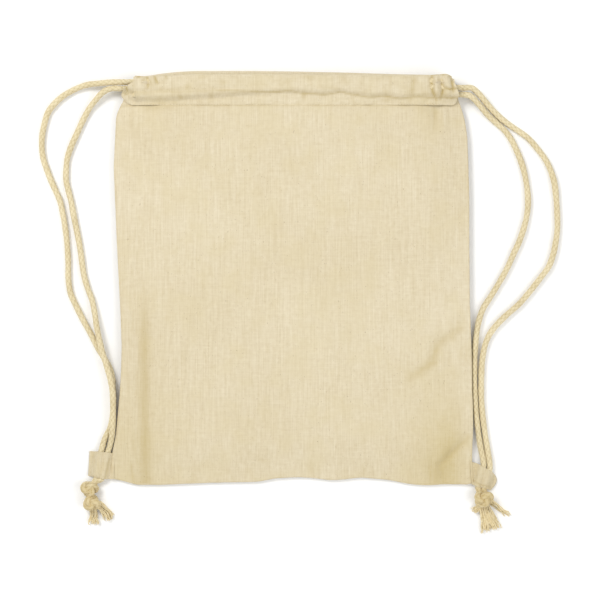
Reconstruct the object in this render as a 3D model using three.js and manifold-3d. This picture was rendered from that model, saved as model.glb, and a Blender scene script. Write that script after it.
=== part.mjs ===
// A drawstring backpack of unbleached cotton, lying flat on its rear panel with the mouth toward +Y.
// Millimetres, +Z up. The origin lies under the middle of the fabric pieces, on the surface they rest on.
import * as THREE from 'three';
import { mergeVertices } from 'three/addons/utils/BufferGeometryUtils.js';
import Module from 'manifold-3d';

const wasm = await Module();
wasm.setup();

// Driving sizes
const BAG_WIDTH = 352; // between the side seams, at half height
const BAG_LENGTH = 411.5; // from the bottom seam to the fold of the rear casing
const MOUTH_DRAW_IN = 8; // each casing end lies this far inside the side seam's line
const BOTTOM_SPREAD = 3; // each bottom corner lies this far outside it
const FABRIC = 0.9; // calico, with its softness
const SEAM_WIDTH = 1.2; // the turned edge of a side or bottom seam
const SEAM_HEIGHT = 3;
const SIDE_SEAM_Z = 7.5; // height of the side seams, between the two panels
const BOTTOM_SEAM_Z = 3;
const CASING_DEPTH = 34.2; // rear casing, from its hem to its fold
const FRONT_SETBACK = 4.5; // the front fold lies this far behind the rear one
const FLANGE_DEPTH = 2.5; // the strip that the hem thread holds flat
const MOUTH_GAP = 5; // between the two casings
const CORD = 6; // diameter of the braided cord
const CLEARANCE = 0.3; // between any two pieces
const TAB_WIDTH = 20;
const TAB_DROP = 9.5; // the right tab's lowest corner lies this far below the bottom seam
const FRONT_BAND = 48; // how far in from its edges the front panel reaches its full height
const REAR_BAND = 30; // how far in from its edges the rear panel lies flat

// Sizes that follow
const SIDE_X = BAG_WIDTH / 2;
const BOTTOM_Y = (TAB_DROP - BAG_LENGTH) / 2;
const REAR_FOLD_Y = BOTTOM_Y + BAG_LENGTH;
const FRONT_FOLD_Y = REAR_FOLD_Y - FRONT_SETBACK;
const HEM_Y = REAR_FOLD_Y - CASING_DEPTH;
const CASING_X = SIDE_X - MOUTH_DRAW_IN;
const CHANNEL_HEIGHT = CORD + 2 * CLEARANCE;
const CASING_HEIGHT = CHANNEL_HEIGHT + 2 * FABRIC;
const FRONT_CASING_Z = CASING_HEIGHT + MOUTH_GAP;
const REAR_CORD_Z = CASING_HEIGHT / 2;
const FRONT_CORD_Z = FRONT_CASING_Z + CASING_HEIGHT / 2;
const EXIT_Z = (REAR_CORD_Z + FRONT_CORD_Z) / 2;
const CORD_PITCH = CORD + 2 * CLEARANCE; // two cords side by side
const FLOOR_Z = CORD / 2 + CLEARANCE; // centre of a cord that lies on the surface

const calico = new THREE.MeshStandardMaterial({ color: 0xe4d8b8, roughness: 0.95, metalness: 0 });
const cotton = new THREE.MeshStandardMaterial({ color: 0xdcca9c, roughness: 0.9, metalness: 0 });
const thread = new THREE.MeshStandardMaterial({ color: 0xece4cc, roughness: 0.8, metalness: 0 });

const { smoothstep, degToRad, lerp } = THREE.MathUtils;
const bag = new THREE.Group();

function addMesh(parent, name, geometry, material) {
  const mesh = new THREE.Mesh(geometry, material);
  mesh.name = name;
  parent.add(mesh);
  return mesh;
}

// A closed geometry as a solid that can be joined or cut, and back again
function toSolid(geometry) {
  const bare = geometry.clone();
  bare.deleteAttribute('normal');
  bare.deleteAttribute('uv');
  const merged = mergeVertices(bare, 1e-4);
  const vertProperties = new Float32Array(merged.attributes.position.array);
  const triVerts = new Uint32Array(merged.index.array);
  return new wasm.Manifold(new wasm.Mesh({ numProp: 3, vertProperties, triVerts }));
}

function toGeometry(solid) {
  const mesh = solid.getMesh();
  const geometry = new THREE.BufferGeometry();
  geometry.setAttribute('position', new THREE.BufferAttribute(mesh.vertProperties, 3));
  geometry.setIndex(new THREE.BufferAttribute(mesh.triVerts, 1));
  geometry.computeVertexNormals();
  return geometry;
}

// The bag's outline: narrower at the mouth, wider at the bottom corners, each over its own length
const MOUTH_LENGTH = 70;
const CORNER_LENGTH = 100;
const SEAM_RISE_LENGTH = 80; // how far above the bottom the side seams reach their full height
function halfWidthAt(y) {
  const mouth = smoothstep(y, HEM_Y - MOUTH_LENGTH, HEM_Y);
  const bottom = 1 - smoothstep(y, BOTTOM_Y, BOTTOM_Y + CORNER_LENGTH);
  return SIDE_X - MOUTH_DRAW_IN * mouth + BOTTOM_SPREAD * bottom;
}

function seamHeightAt(y) {
  return lerp(BOTTOM_SEAM_Z, SIDE_SEAM_Z, smoothstep(y, BOTTOM_Y, BOTTOM_Y + SEAM_RISE_LENGTH));
}

// Every soft sheet starts as a divided box. place() puts its corners, for u and v from -1 to 1 and w from 0 to 1.
function softSheet(columns, rows, place) {
  const geometry = new THREE.BoxGeometry(2, 2, 1, columns, rows, 1);
  const corners = geometry.attributes.position;
  for (let i = 0; i < corners.count; i += 1) {
    const at = place(corners.getX(i), corners.getY(i), corners.getZ(i) + 0.5);
    corners.setXYZ(i, at[0], at[1], at[2]);
  }
  geometry.computeVertexNormals();
  return geometry;
}

// Panels: the front one crowns over the hollow, the rear one lies flat and turns up to the seams
const PANEL_LOW = BOTTOM_Y + SEAM_WIDTH + CLEARANCE;
const PANEL_HIGH = HEM_Y - CLEARANCE;
const EDGE_GAP = CLEARANCE / 2; // each panel's edge stays this far above or below the seam's middle

function insideness(x, y, band) {
  const fromSide = halfWidthAt(y) - Math.abs(x);
  return smoothstep(fromSide, 0, band) * smoothstep(y - BOTTOM_Y, 0, band);
}

const PANEL_CELLS = 22; // along each side
function panel(edgeZ, middleZ, band) {
  return softSheet(PANEL_CELLS, PANEL_CELLS, (u, v, w) => {
    const y = lerp(PANEL_LOW, PANEL_HIGH, (v + 1) / 2);
    const x = u * (halfWidthAt(y) - SEAM_WIDTH - CLEARANCE);
    return [x, y, lerp(edgeZ(y), middleZ, insideness(x, y, band)) + w * FABRIC];
  });
}

const frontEdge = (y) => seamHeightAt(y) + EDGE_GAP;
const rearEdge = (y) => seamHeightAt(y) - EDGE_GAP - FABRIC;
addMesh(bag, 'front_panel', panel(frontEdge, FRONT_CASING_Z, FRONT_BAND), calico);
addMesh(bag, 'rear_panel', panel(rearEdge, 0, REAR_BAND), calico);

// Side seams run from the bottom seam to the casings, and the bottom seam closes the bag below
for (const [name, side] of [['left', -1], ['right', 1]]) {
  const seam = softSheet(1, PANEL_CELLS, (u, v, w) => {
    const y = lerp(PANEL_LOW, PANEL_HIGH, (v + 1) / 2);
    const x = side * (halfWidthAt(y) - SEAM_WIDTH / 2) + (u * SEAM_WIDTH) / 2;
    return [x, y, seamHeightAt(y) + (w - 0.5) * SEAM_HEIGHT];
  });
  addMesh(bag, `${name}_side_seam`, seam, calico);
}
const bottomLength = 2 * (SIDE_X + BOTTOM_SPREAD);
const bottomSeam = new THREE.BoxGeometry(bottomLength, SEAM_WIDTH, SEAM_HEIGHT);
addMesh(bag, 'bottom_seam', bottomSeam, calico).position.set(0, BOTTOM_Y + SEAM_WIDTH / 2, BOTTOM_SEAM_Z);

// Casings: folded tubes for the cords, sewn flat along the hem, their inner walls notched at both ends
const NOTCH_LENGTH = 30;
const FLANGE_STEP = 1; // where the two layers part, behind the flange
const CHANNEL_START = FLANGE_DEPTH + FLANGE_STEP + FABRIC; // from the hem to the channel
const CHANNEL_Y = HEM_Y + CHANNEL_START;

// The corners of an arc around (x, y), for outlines
function arc(x, y, radius, from, to) {
  const corners = [];
  const steps = 8;
  for (let i = 0; i <= steps; i += 1) {
    const angle = lerp(from, to, i / steps);
    corners.push(new THREE.Vector2(x + radius * Math.cos(angle), y + radius * Math.sin(angle)));
  }
  return corners;
}

const QUARTER = Math.PI / 2;

function casing(depth, notchZ) {
  const fold = CASING_HEIGHT / 2;
  const section = new THREE.Shape([
    new THREE.Vector2(0, 0),
    ...arc(depth - fold, fold, fold, -QUARTER, QUARTER),
    new THREE.Vector2(FLANGE_DEPTH + FLANGE_STEP, CASING_HEIGHT),
    new THREE.Vector2(FLANGE_DEPTH, 2 * FABRIC),
    new THREE.Vector2(0, 2 * FABRIC),
  ]);
  const channel = new THREE.Path([
    new THREE.Vector2(CHANNEL_START, FABRIC),
    new THREE.Vector2(CHANNEL_START, CASING_HEIGHT - FABRIC),
    ...arc(depth - fold, fold, fold - FABRIC, QUARTER, -QUARTER),
  ]);
  section.holes.push(channel);
  const tube = new THREE.ExtrudeGeometry(section, { depth: 2 * CASING_X, bevelEnabled: false });
  const alongY = new THREE.Vector3(0, 1, 0);
  const alongZ = new THREE.Vector3(0, 0, 1);
  const alongX = new THREE.Vector3(1, 0, 0);
  tube.applyMatrix4(new THREE.Matrix4().makeBasis(alongY, alongZ, alongX));
  tube.translate(-CASING_X, 0, 0);
  let solid = toSolid(tube);
  const notchDepth = depth - fold / 2 - CHANNEL_START;
  for (const side of [-1, 1]) {
    const notch = new THREE.BoxGeometry(2 * NOTCH_LENGTH, notchDepth, 2 * (FABRIC + CLEARANCE / 2));
    notch.translate(side * CASING_X, CHANNEL_START + notchDepth / 2, notchZ);
    solid = solid.subtract(toSolid(notch));
  }
  return toGeometry(solid);
}

const frontCasing = casing(FRONT_FOLD_Y - HEM_Y, 0);
addMesh(bag, 'front_casing', frontCasing, calico).position.set(0, HEM_Y, FRONT_CASING_Z);
const rearCasing = casing(REAR_FOLD_Y - HEM_Y, CASING_HEIGHT);
addMesh(bag, 'rear_casing', rearCasing, calico).position.set(0, HEM_Y, 0);

// Threads: a hem row on each casing's flange, and a bar tack near each casing end
const THREAD = 0.4;
const TACK_LENGTH = 9;
const TACK_WIDTH = 3;
const TACK_INSET = 22; // from the casing's end to the middle of the tack
const TACK_RISE = 21; // from the hem to the middle of a front tack
for (const [name, flangeZ] of [['front', FRONT_CASING_Z], ['rear', 0]]) {
  const row = new THREE.BoxGeometry(2 * (CASING_X - CLEARANCE), 2 * THREAD, THREAD);
  const rowZ = flangeZ + 2 * FABRIC + CLEARANCE + THREAD / 2;
  addMesh(bag, `${name}_hem_thread`, row, thread).position.set(0, HEM_Y + FLANGE_DEPTH / 2, rowZ);
}
for (const [name, side] of [['left', -1], ['right', 1]]) {
  const tackX = side * (CASING_X - TACK_INSET);
  const onTop = new THREE.BoxGeometry(TACK_LENGTH, TACK_WIDTH, THREAD);
  const topZ = FRONT_CASING_Z + CASING_HEIGHT + CLEARANCE + THREAD / 2;
  addMesh(bag, `${name}_front_tack`, onTop, thread).position.set(tackX, HEM_Y + TACK_RISE, topZ);
  const inside = new THREE.BoxGeometry(TACK_LENGTH, FLANGE_DEPTH - CLEARANCE, THREAD);
  const insideZ = 2 * FABRIC + 2 * CLEARANCE + 1.5 * THREAD;
  addMesh(bag, `${name}_rear_tack`, inside, thread).position.set(tackX, HEM_Y + FLANGE_DEPTH / 2, insideZ);
}

// A round cord along a curve, its section a polygon
const CORD_SIDES = 10;
function cordAlong(points, steps) {
  const corners = [];
  for (let i = 0; i < CORD_SIDES; i += 1) {
    const angle = (2 * Math.PI * i) / CORD_SIDES;
    corners.push(new THREE.Vector2(Math.cos(angle), Math.sin(angle)).multiplyScalar(CORD / 2));
  }
  const section = new THREE.Shape(corners);
  const curve = new THREE.CatmullRomCurve3(points.map((p) => new THREE.Vector3(...p)), false, 'centripetal');
  return new THREE.ExtrudeGeometry(section, { steps, bevelEnabled: false, extrudePath: curve });
}

// Each cord runs through both casings and turns back at the far end. The left cord leaves at the left.
// Across the casing, each cord has its own place in the middle, at its turn and at its exit.
const TURN_INSET = 18;
const TURN_X = CASING_X - TURN_INSET; // where the turn starts
const EXIT_REACH = 2.5;
const HINGE_X = CASING_X + EXIT_REACH; // where the free strands start
const RUN_END_X = HINGE_X - CORD / 2 - CLEARANCE;
const RUN_Y = CHANNEL_Y + 12.2; // the right cord in the middle of the casing
const cords = {
  left: { side: -1, middleY: RUN_Y + CORD_PITCH, turnY: RUN_Y + CORD_PITCH, exitY: CHANNEL_Y + 18.1 },
  right: { side: 1, middleY: RUN_Y, turnY: CHANNEL_Y + 4.7, exitY: CHANNEL_Y + 12.4 },
};
const NEAR_STEPS = 26;
const FAR_STEPS = 12;
for (const [name, { side, middleY, turnY, exitY }] of Object.entries(cords)) {
  const layers = [['front', FRONT_CORD_Z, exitY], ['rear', REAR_CORD_Z, exitY - CORD_PITCH]];
  for (const [layer, z, endY] of layers) {
    const near = [
      [side * (CLEARANCE / 2), middleY, z],
      [side * (RUN_END_X - 90), middleY, z],
      [side * (RUN_END_X - 45), middleY, z],
      [side * (RUN_END_X - 34), lerp(middleY, endY, 0.5), z],
      [side * (RUN_END_X - 22), endY, z],
      [side * (RUN_END_X - 15), endY, lerp(z, EXIT_Z, 0.25)],
      [side * (RUN_END_X - 8), endY, lerp(z, EXIT_Z, 0.8)],
      [side * RUN_END_X, endY, EXIT_Z],
    ];
    addMesh(bag, `${name}_cord_${layer}_near_run`, cordAlong(near, NEAR_STEPS), cotton);
    const far = [
      [-side * (CLEARANCE / 2), middleY, z],
      [-side * (TURN_X / 2), lerp(middleY, turnY, 0.5), z],
      [-side * (TURN_X - CLEARANCE), turnY, z],
    ];
    addMesh(bag, `${name}_cord_${layer}_far_run`, cordAlong(far, FAR_STEPS), cotton);
  }
  const turnRadius = (FRONT_CORD_Z - REAR_CORD_Z) / 2;
  const turn = [[-side * TURN_X, turnY, FRONT_CORD_Z], [-side * (TURN_X + 1), turnY, FRONT_CORD_Z]];
  for (let i = 0; i <= 8; i += 1) {
    const angle = (Math.PI * i) / 8;
    const out = TURN_X + 2 + turnRadius * Math.sin(angle);
    turn.push([-side * out, turnY, EXIT_Z + turnRadius * Math.cos(angle)]);
  }
  turn.push([-side * (TURN_X + 1), turnY, REAR_CORD_Z], [-side * TURN_X, turnY, REAR_CORD_Z]);
  addMesh(bag, `${name}_cord_turn`, cordAlong(turn, FAR_STEPS), cotton);
}

// Tabs: short folded tubes of calico at the bottom corners, that the strands pass through. The gap is from the
// side seam's line to the tab's nearest corner.
const tabs = {
  left: { side: -1, length: 25, turn: degToRad(-10), gap: 6, middleY: BOTTOM_Y + 16.5 },
  right: { side: 1, length: 20, turn: degToRad(-17), gap: 5, middleY: null },
};
const TAB_CORD_INSET = 7.5; // from the tab's inner edge to the middle of its two strands
const TAB_CORD_SHIFT = TAB_WIDTH / 2 - TAB_CORD_INSET; // from the tab's middle, toward the bag

function tabTube(length) {
  const round = CASING_HEIGHT / 2;
  const endX = TAB_WIDTH / 2 - round;
  const outline = (radius) => [
    ...arc(endX, 0, radius, -QUARTER, QUARTER),
    ...arc(-endX, 0, radius, QUARTER, 3 * QUARTER),
  ];
  const section = new THREE.Shape(outline(round));
  section.holes.push(new THREE.Path(outline(round - FABRIC)));
  const tube = new THREE.ExtrudeGeometry(section, { depth: length, bevelEnabled: false });
  tube.rotateX(Math.PI / 2);
  tube.translate(0, length / 2, 0);
  return tube;
}

for (const [name, tab] of Object.entries(tabs)) {
  const halfX = (TAB_WIDTH / 2) * Math.cos(tab.turn) + (tab.length / 2) * Math.abs(Math.sin(tab.turn));
  const halfY = (TAB_WIDTH / 2) * Math.abs(Math.sin(tab.turn)) + (tab.length / 2) * Math.cos(tab.turn);
  const middleY = tab.middleY ?? BOTTOM_Y - TAB_DROP + halfY;
  tab.group = new THREE.Group();
  tab.group.position.set(tab.side * (SIDE_X + tab.gap + halfX), middleY, CASING_HEIGHT / 2);
  tab.group.rotation.z = tab.turn;
  tab.group.updateMatrixWorld();
  bag.add(tab.group);
  addMesh(tab.group, `${name}_tab`, tabTube(tab.length), calico);
  const row = new THREE.BoxGeometry(2 * THREAD, tab.length - 2, THREAD);
  const rowX = -tab.side * (TAB_WIDTH / 2 - CASING_HEIGHT / 2);
  const rowZ = CASING_HEIGHT / 2 + CLEARANCE + THREAD / 2;
  addMesh(tab.group, `${name}_tab_stitch`, row, thread).position.set(rowX, 0, rowZ);
}

// The four free strands. Each point is how far outside the side seam's line it lies, how far above the hem
// (upper) or above the bottom seam (lower), and its level: 0 on the surface, 1 on top of another cord.
const strands = {
  left_outer: {
    upper: [
      [3, 22.6, 1.1], [17.9, 21.7, 0.7], [30.7, 20.5, 0.25], [42.2, 16.6, 0], [53.6, 10.3, 0],
      [62.6, 2.6, 0], [69.6, -6.3, 0], [73.4, -17.8, 0], [75.7, -29.3, 0], [76.2, -42, 0],
      [74.7, -53.5, 0], [70.9, -65, 0], [67, -75.2, 0], [61.9, -86.7, 0], [58.1, -95.6, 0],
      [55.5, -107.1, 0], [53, -121.1, 0], [51.1, -136.4, 0], [49.8, -155.2, 0],
    ],
    lower: [
      [49.5, 202.2, 0], [47.2, 188.4, 0], [41.1, 174.7, 0], [33.4, 159.3, 0], [25.8, 145.6, 0],
      [19.7, 133.3, 0], [12.2, 121.1, 0], [6.4, 109, 0], [4.6, 92, 0], [4.6, 71, 0],
      [7.6, 54, 0], [13.6, 41, 0.02],
    ],
  },
  left_inner: {
    upper: [
      [5.6, 16.2, 1], [14.1, 12.8, 0.75], [21.7, 5.2, 0.45], [28.1, -2.5, 0.15], [34.5, -14, 0],
      [40.9, -28, 0], [46.6, -40.8, 0], [50.4, -52.2, 0], [51.7, -63.7, 0], [51.8, -75.2, 0],
      [49.2, -86.7, 0], [46.6, -96.9, 0], [44.1, -110.9, 0], [41.5, -123.7, 0], [38.3, -140.2, 0],
      [36.5, -152.1, 0],
    ],
    lower: [
      [34.2, 208.3, 0], [30.4, 194.5, 0], [25.8, 182.3, 0.1], [22.7, 168.5, 0.45], [20.4, 154.8, 0.85],
      [17.4, 141, 1], [14.3, 128.7, 1], [10.5, 116.5, 1], [6.6, 102.7, 1], [4.4, 88.9, 1],
      [4, 75.2, 1], [4.2, 61.4, 1], [4.9, 50, 0.9], [6.4, 41, 0.4], [8.4, 33.5, 0.04],
    ],
  },
  right_outer: {
    upper: [
      [3, 16.6, 1.1], [10, 11, 0.85], [17, 3, 0.55], [24.5, -5.2, 0.2], [32, -12.3, 0],
      [40.5, -19.1, 0], [50.1, -25.5, 0], [60.3, -33.1, 0], [69.2, -43.3, 0], [76.9, -53.5, 0],
      [82.6, -65, 0], [86.4, -77.7, 0], [88.3, -93.1, 0], [89.2, -108.4, 0], [89.4, -123.7, 0],
      [87.7, -137.7, 0], [85, -150.3, 0],
    ],
    lower: [
      [80.7, 215.5, 0], [72.1, 203.7, 0], [61.4, 190, 0], [50.7, 177.7, 0], [38.5, 167, 0],
      [27.9, 156.3, 0], [20.3, 145.6, 0], [15.9, 133.3, 0], [13.6, 118, 0], [13, 101.2, 0],
      [13, 84.3, 0], [14.4, 66, 0], [17, 46.1, 0], [19.6, 29, 0.05],
    ],
  },
  right_inner: {
    upper: [
      [1.5, 8.6, 1.05], [9.3, 1.3, 0.75], [19.5, -10.1, 0.3], [28.4, -17.8, 0], [36.1, -24.8, 0],
      [42.4, -33.1, 0], [48.2, -44.6, 0], [53.3, -57.3, 0], [57.1, -71.4, 0], [59.3, -85.4, 0],
      [59.9, -99.4, 0], [58.4, -112.2, 0], [55.2, -124.9, 0], [50.1, -139, 0], [46.1, -147.5, 0],
    ],
    lower: [
      [39.2, 214.4, 0], [30.8, 199.1, 0], [22.4, 185.4, 0], [14.7, 173.1, 0], [10.1, 159.3, 0],
      [7.5, 142.5, 0], [6.3, 125.7, 0], [6, 108.8, 0], [6.3, 92, 0], [7.2, 73.6, 0],
      [8.8, 58.3, 0], [11.6, 38, 0.02],
    ],
  },
};
const LEVEL_STEP = CORD + CLEARANCE;
const END_SHORT = 1.5; // each strand stops this far short of the tab's lower mouth
const STRAND_STEPS = 40;
const END_REACH = 60; // up to this far from the hem or the bottom seam, a strand ignores the bag's length
const LIST_SPAN = 377.3; // from the bottom seam to the hem, for the points as listed
const MIDDLE_STRETCH = (HEM_Y - BOTTOM_Y - 2 * END_REACH) / (LIST_SPAN - 2 * END_REACH);

function alongBag(up) {
  const beyond = Math.max(0, Math.abs(up) - END_REACH);
  return Math.sign(up) * (Math.abs(up) - beyond + beyond * MIDDLE_STRETCH);
}

for (const [name, { upper, lower }] of Object.entries(strands)) {
  const [cordName, place] = name.split('_');
  const { side, exitY } = cords[cordName];
  const tab = tabs[cordName];
  const outer = place === 'outer';
  const at = (baseY) => ([out, up, level]) => {
    return [side * (SIDE_X + out), baseY + alongBag(up), FLOOR_Z + level * LEVEL_STEP];
  };
  const start = [side * HINGE_X, outer ? exitY : exitY - CORD_PITCH, EXIT_Z];
  const inTabX = side * ((outer ? CORD_PITCH / 2 : -CORD_PITCH / 2) - TAB_CORD_SHIFT);
  const inTab = [tab.length / 2 + 1, 0, END_SHORT - tab.length / 2].map((y) => {
    return tab.group.localToWorld(new THREE.Vector3(inTabX, y, 0)).toArray();
  });
  const route = [start, ...upper.map(at(HEM_Y)), ...lower.map(at(BOTTOM_Y)), ...inTab];
  const ball = new THREE.SphereGeometry(CORD / 2, 12, 8);
  ball.translate(...start);
  const strand = toSolid(cordAlong(route, STRAND_STEPS)).add(toSolid(ball));
  addMesh(bag, `${name}_strand`, toGeometry(strand), cotton);
}

// Knots below the tabs, and the frayed cord ends below the knots, each placed from the tab's lower mouth
function ellipsoid(radii, at) {
  const ball = new THREE.SphereGeometry(1, 18, 12);
  ball.scale(...radii);
  ball.translate(...at);
  return toSolid(ball);
}

function necks(from, to) {
  const tubeShape = cordAlong([[0, from, 0], [0, (from + to) / 2, 0], [0, to, 0]], 2);
  const left = tubeShape.clone().translate(-CORD_PITCH / 2 + CLEARANCE, 0, 0);
  const right = tubeShape.clone().translate(CORD_PITCH / 2 - CLEARANCE, 0, 0);
  return toSolid(left).add(toSolid(right));
}

// radii, middle and frays are in the knot's own frame: its origin is the middle of the tab's lower mouth
const knots = {
  left: {
    lobes: [[9.3, 7.6, 7.6, -7.4, -11.4], [9.2, 8, 7.6, -5.4, -25.4]],
    frays: [[-4.6, -34.2, -3.6, -47.6, 3.1, 4.4], [3.9, -29.9, 14, -41, 3.1, 4.4]],
  },
  right: {
    lobes: [[10.2, 8.9, 7.8, 0, -10.4]],
    frays: [
      [1.5, -20.6, 9, -43, 3.2, 8.4], [-4.6, -19.4, -7, -24.6, 3, 3.4], [9.6, -15.6, 26.5, -29, 2.6, 2.4],
    ],
  },
};

const NECK_GAP = 0.9; // from the tab's lower mouth to the knot
const FRAY_Z = 4.6;
const FRAY_THICKNESS = 4.4; // half of a frayed end's, at most
for (const [name, knot] of Object.entries(knots)) {
  const tab = tabs[name];
  const mouth = new THREE.Vector3(0, -tab.length / 2, 0).applyMatrix4(tab.group.matrixWorld);
  const knotGroup = new THREE.Group();
  knotGroup.position.set(mouth.x, mouth.y, 0);
  bag.add(knotGroup);
  const neckEnd = knot.lobes[0][4];
  const neck = toGeometry(necks(-NECK_GAP, neckEnd));
  neck.translate(0, 0, REAR_CORD_Z);
  neck.rotateZ(Math.atan2(knot.lobes[0][3], -neckEnd));
  let solid = toSolid(neck);
  for (const [rx, ry, rz, x, y] of knot.lobes) {
    solid = solid.add(ellipsoid([rx, ry, rz], [x, y, rz + CLEARANCE / 2]));
  }
  addMesh(knotGroup, `${name}_knot`, toGeometry(solid), cotton);
  knot.frays.forEach(([x0, y0, x1, y1, narrow, wide], i) => {
    const along = new THREE.Vector3(x1 - x0, y1 - y0, 0);
    const fray = new THREE.CylinderGeometry(wide, narrow, along.length(), 12);
    fray.scale(1, 1, Math.min(1, FRAY_THICKNESS / wide));
    const mesh = addMesh(knotGroup, `${name}_frayed_end_${i + 1}`, fray, cotton);
    mesh.position.set((x0 + x1) / 2, (y0 + y1) / 2, FRAY_Z);
    mesh.rotation.z = Math.atan2(along.y, along.x) - Math.PI / 2;
  });
}

export default bag;
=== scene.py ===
"""A drawstring backpack of unbleached calico with two braided cotton cords, laid flat on its back."""

import math

import bpy
import numpy as np
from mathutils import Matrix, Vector, noise


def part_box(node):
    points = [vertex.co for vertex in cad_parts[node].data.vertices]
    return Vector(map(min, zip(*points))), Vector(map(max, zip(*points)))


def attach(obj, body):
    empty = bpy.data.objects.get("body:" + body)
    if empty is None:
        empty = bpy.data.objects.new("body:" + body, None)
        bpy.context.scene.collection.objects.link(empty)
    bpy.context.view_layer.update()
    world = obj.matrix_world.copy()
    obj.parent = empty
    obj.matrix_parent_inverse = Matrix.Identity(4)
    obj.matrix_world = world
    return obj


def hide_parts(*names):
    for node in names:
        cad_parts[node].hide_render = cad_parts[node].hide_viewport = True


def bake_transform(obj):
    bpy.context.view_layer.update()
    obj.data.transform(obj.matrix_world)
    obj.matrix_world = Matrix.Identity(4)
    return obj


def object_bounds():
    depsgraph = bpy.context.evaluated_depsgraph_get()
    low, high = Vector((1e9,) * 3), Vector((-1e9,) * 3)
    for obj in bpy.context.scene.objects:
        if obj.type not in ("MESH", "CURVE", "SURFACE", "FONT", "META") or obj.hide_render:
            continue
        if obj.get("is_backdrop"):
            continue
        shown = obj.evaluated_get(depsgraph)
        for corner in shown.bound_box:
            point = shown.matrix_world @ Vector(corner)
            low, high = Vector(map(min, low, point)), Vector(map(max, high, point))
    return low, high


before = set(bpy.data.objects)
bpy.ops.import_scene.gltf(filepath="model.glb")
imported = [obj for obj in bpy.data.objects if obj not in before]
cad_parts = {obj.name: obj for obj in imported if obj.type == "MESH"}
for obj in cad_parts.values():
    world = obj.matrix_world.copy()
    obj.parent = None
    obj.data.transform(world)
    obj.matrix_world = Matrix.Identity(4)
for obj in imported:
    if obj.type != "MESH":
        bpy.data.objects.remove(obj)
cad_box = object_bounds()


# ---- Camera, floor and lights -------------------------------------------------------------
# A camera looks straight down on the bag. The floor is a pale matt board, and big soft panels
# light it evenly, a little more from the top left.
VIEW_CENTRE = (0.007, -0.019)
VIEW_WIDTH = 0.6
LENS = 100
SENSOR = 36

camera_data = bpy.data.cameras.new("camera")
camera_data.lens = LENS
camera_data.sensor_width = SENSOR
camera = bpy.data.objects.new("camera", camera_data)
camera.location = (*VIEW_CENTRE, VIEW_WIDTH * LENS / SENSOR + 0.01)
bpy.context.scene.collection.objects.link(camera)
bpy.context.scene.camera = camera
bpy.context.scene.view_settings.view_transform = "Standard"


def mesh_object(name, points, faces, smooth=True):
    """A new object at the origin, with its place in its mesh."""
    mesh = bpy.data.meshes.new(name)
    mesh.from_pydata([tuple(map(float, p)) for p in points], [], [tuple(map(int, f)) for f in faces])
    mesh.polygons.foreach_set("use_smooth", [smooth] * len(mesh.polygons))
    mesh.update()
    made = bpy.data.objects.new(name, mesh)
    bpy.context.scene.collection.objects.link(made)
    return made


class Value:
    """One output of a node. Python's own operators on it add Math nodes to its tree."""

    def __init__(self, tree, socket):
        self.tree = tree
        self.socket = socket

    def maths(self, operation, *values):
        return self.tree.node("ShaderNodeMath", {"operation": operation}, dict(enumerate(values)))

    def __add__(self, other):
        return self.maths("ADD", self, other)

    def __sub__(self, other):
        return self.maths("SUBTRACT", self, other)

    def __mul__(self, other):
        return self.maths("MULTIPLY", self, other)

    def __rsub__(self, other):
        return self.maths("SUBTRACT", other, self)

    __radd__ = __add__
    __rmul__ = __mul__

    def sine(self):
        return self.maths("SINE", self)

    def above(self, level, soft):
        """0 below the level, 1 above it, with a soft edge."""
        settings = {"interpolation_type": "SMOOTHSTEP"}
        sockets = {"Value": self, "From Min": level - soft, "From Max": level + soft}
        return self.tree.node("ShaderNodeMapRange", settings, sockets)


class Tree:
    """A node tree of a material or of a geometry group, filled one node at a time."""

    def __init__(self, nodes):
        self.nodes = nodes

    def node(self, kind, settings=None, sockets=None, output=0):
        """Adds a node, makes its settings, then fills or links its sockets. Gives one of its outputs."""
        made = self.nodes.nodes.new(kind)
        for label, setting in (settings or {}).items():
            setattr(made, label, setting)
        for key, value in (sockets or {}).items():
            if isinstance(value, Value):
                self.nodes.links.new(value.socket, made.inputs[key])
            else:
                made.inputs[key].default_value = value
        return Value(self, made.outputs[output]) if len(made.outputs) else None

    def stretched(self, position, scale):
        """The position with each direction scaled by its own amount, for a pattern with a grain."""
        sockets = {0: position, 1: scale}
        return self.node("ShaderNodeVectorMath", {"operation": "MULTIPLY"}, sockets)

    def noise(self, position, scale=1.0, detail=2.0, roughness=0.5):
        sockets = {"Vector": position, "Scale": scale, "Detail": detail, "Roughness": roughness}
        return self.node("ShaderNodeTexNoise", {"noise_dimensions": "3D"}, sockets)

    def mix(self, factor, first, second):
        """A colour between two others. The node's colour sockets are inputs 6 and 7, and output 2."""
        sockets = {0: factor, 6: first, 7: second}
        return self.node("ShaderNodeMix", {"data_type": "RGBA"}, sockets, output=2)


def new_material(name):
    material = bpy.data.materials.new(name)
    material.use_nodes = True
    material.node_tree.nodes.clear()
    return material, Tree(material.node_tree)


def finish_material(tree, colour, roughness, normal=None, sheen=0.0):
    sockets = {"Base Color": colour, "Roughness": roughness, "Specular IOR Level": 0.2}
    sockets["Sheen Weight"] = sheen
    sockets["Sheen Roughness"] = 0.6
    if normal is not None:
        sockets["Normal"] = normal
    surface = tree.node("ShaderNodeBsdfPrincipled", {}, sockets)
    tree.node("ShaderNodeOutputMaterial", {}, {"Surface": surface})


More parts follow.
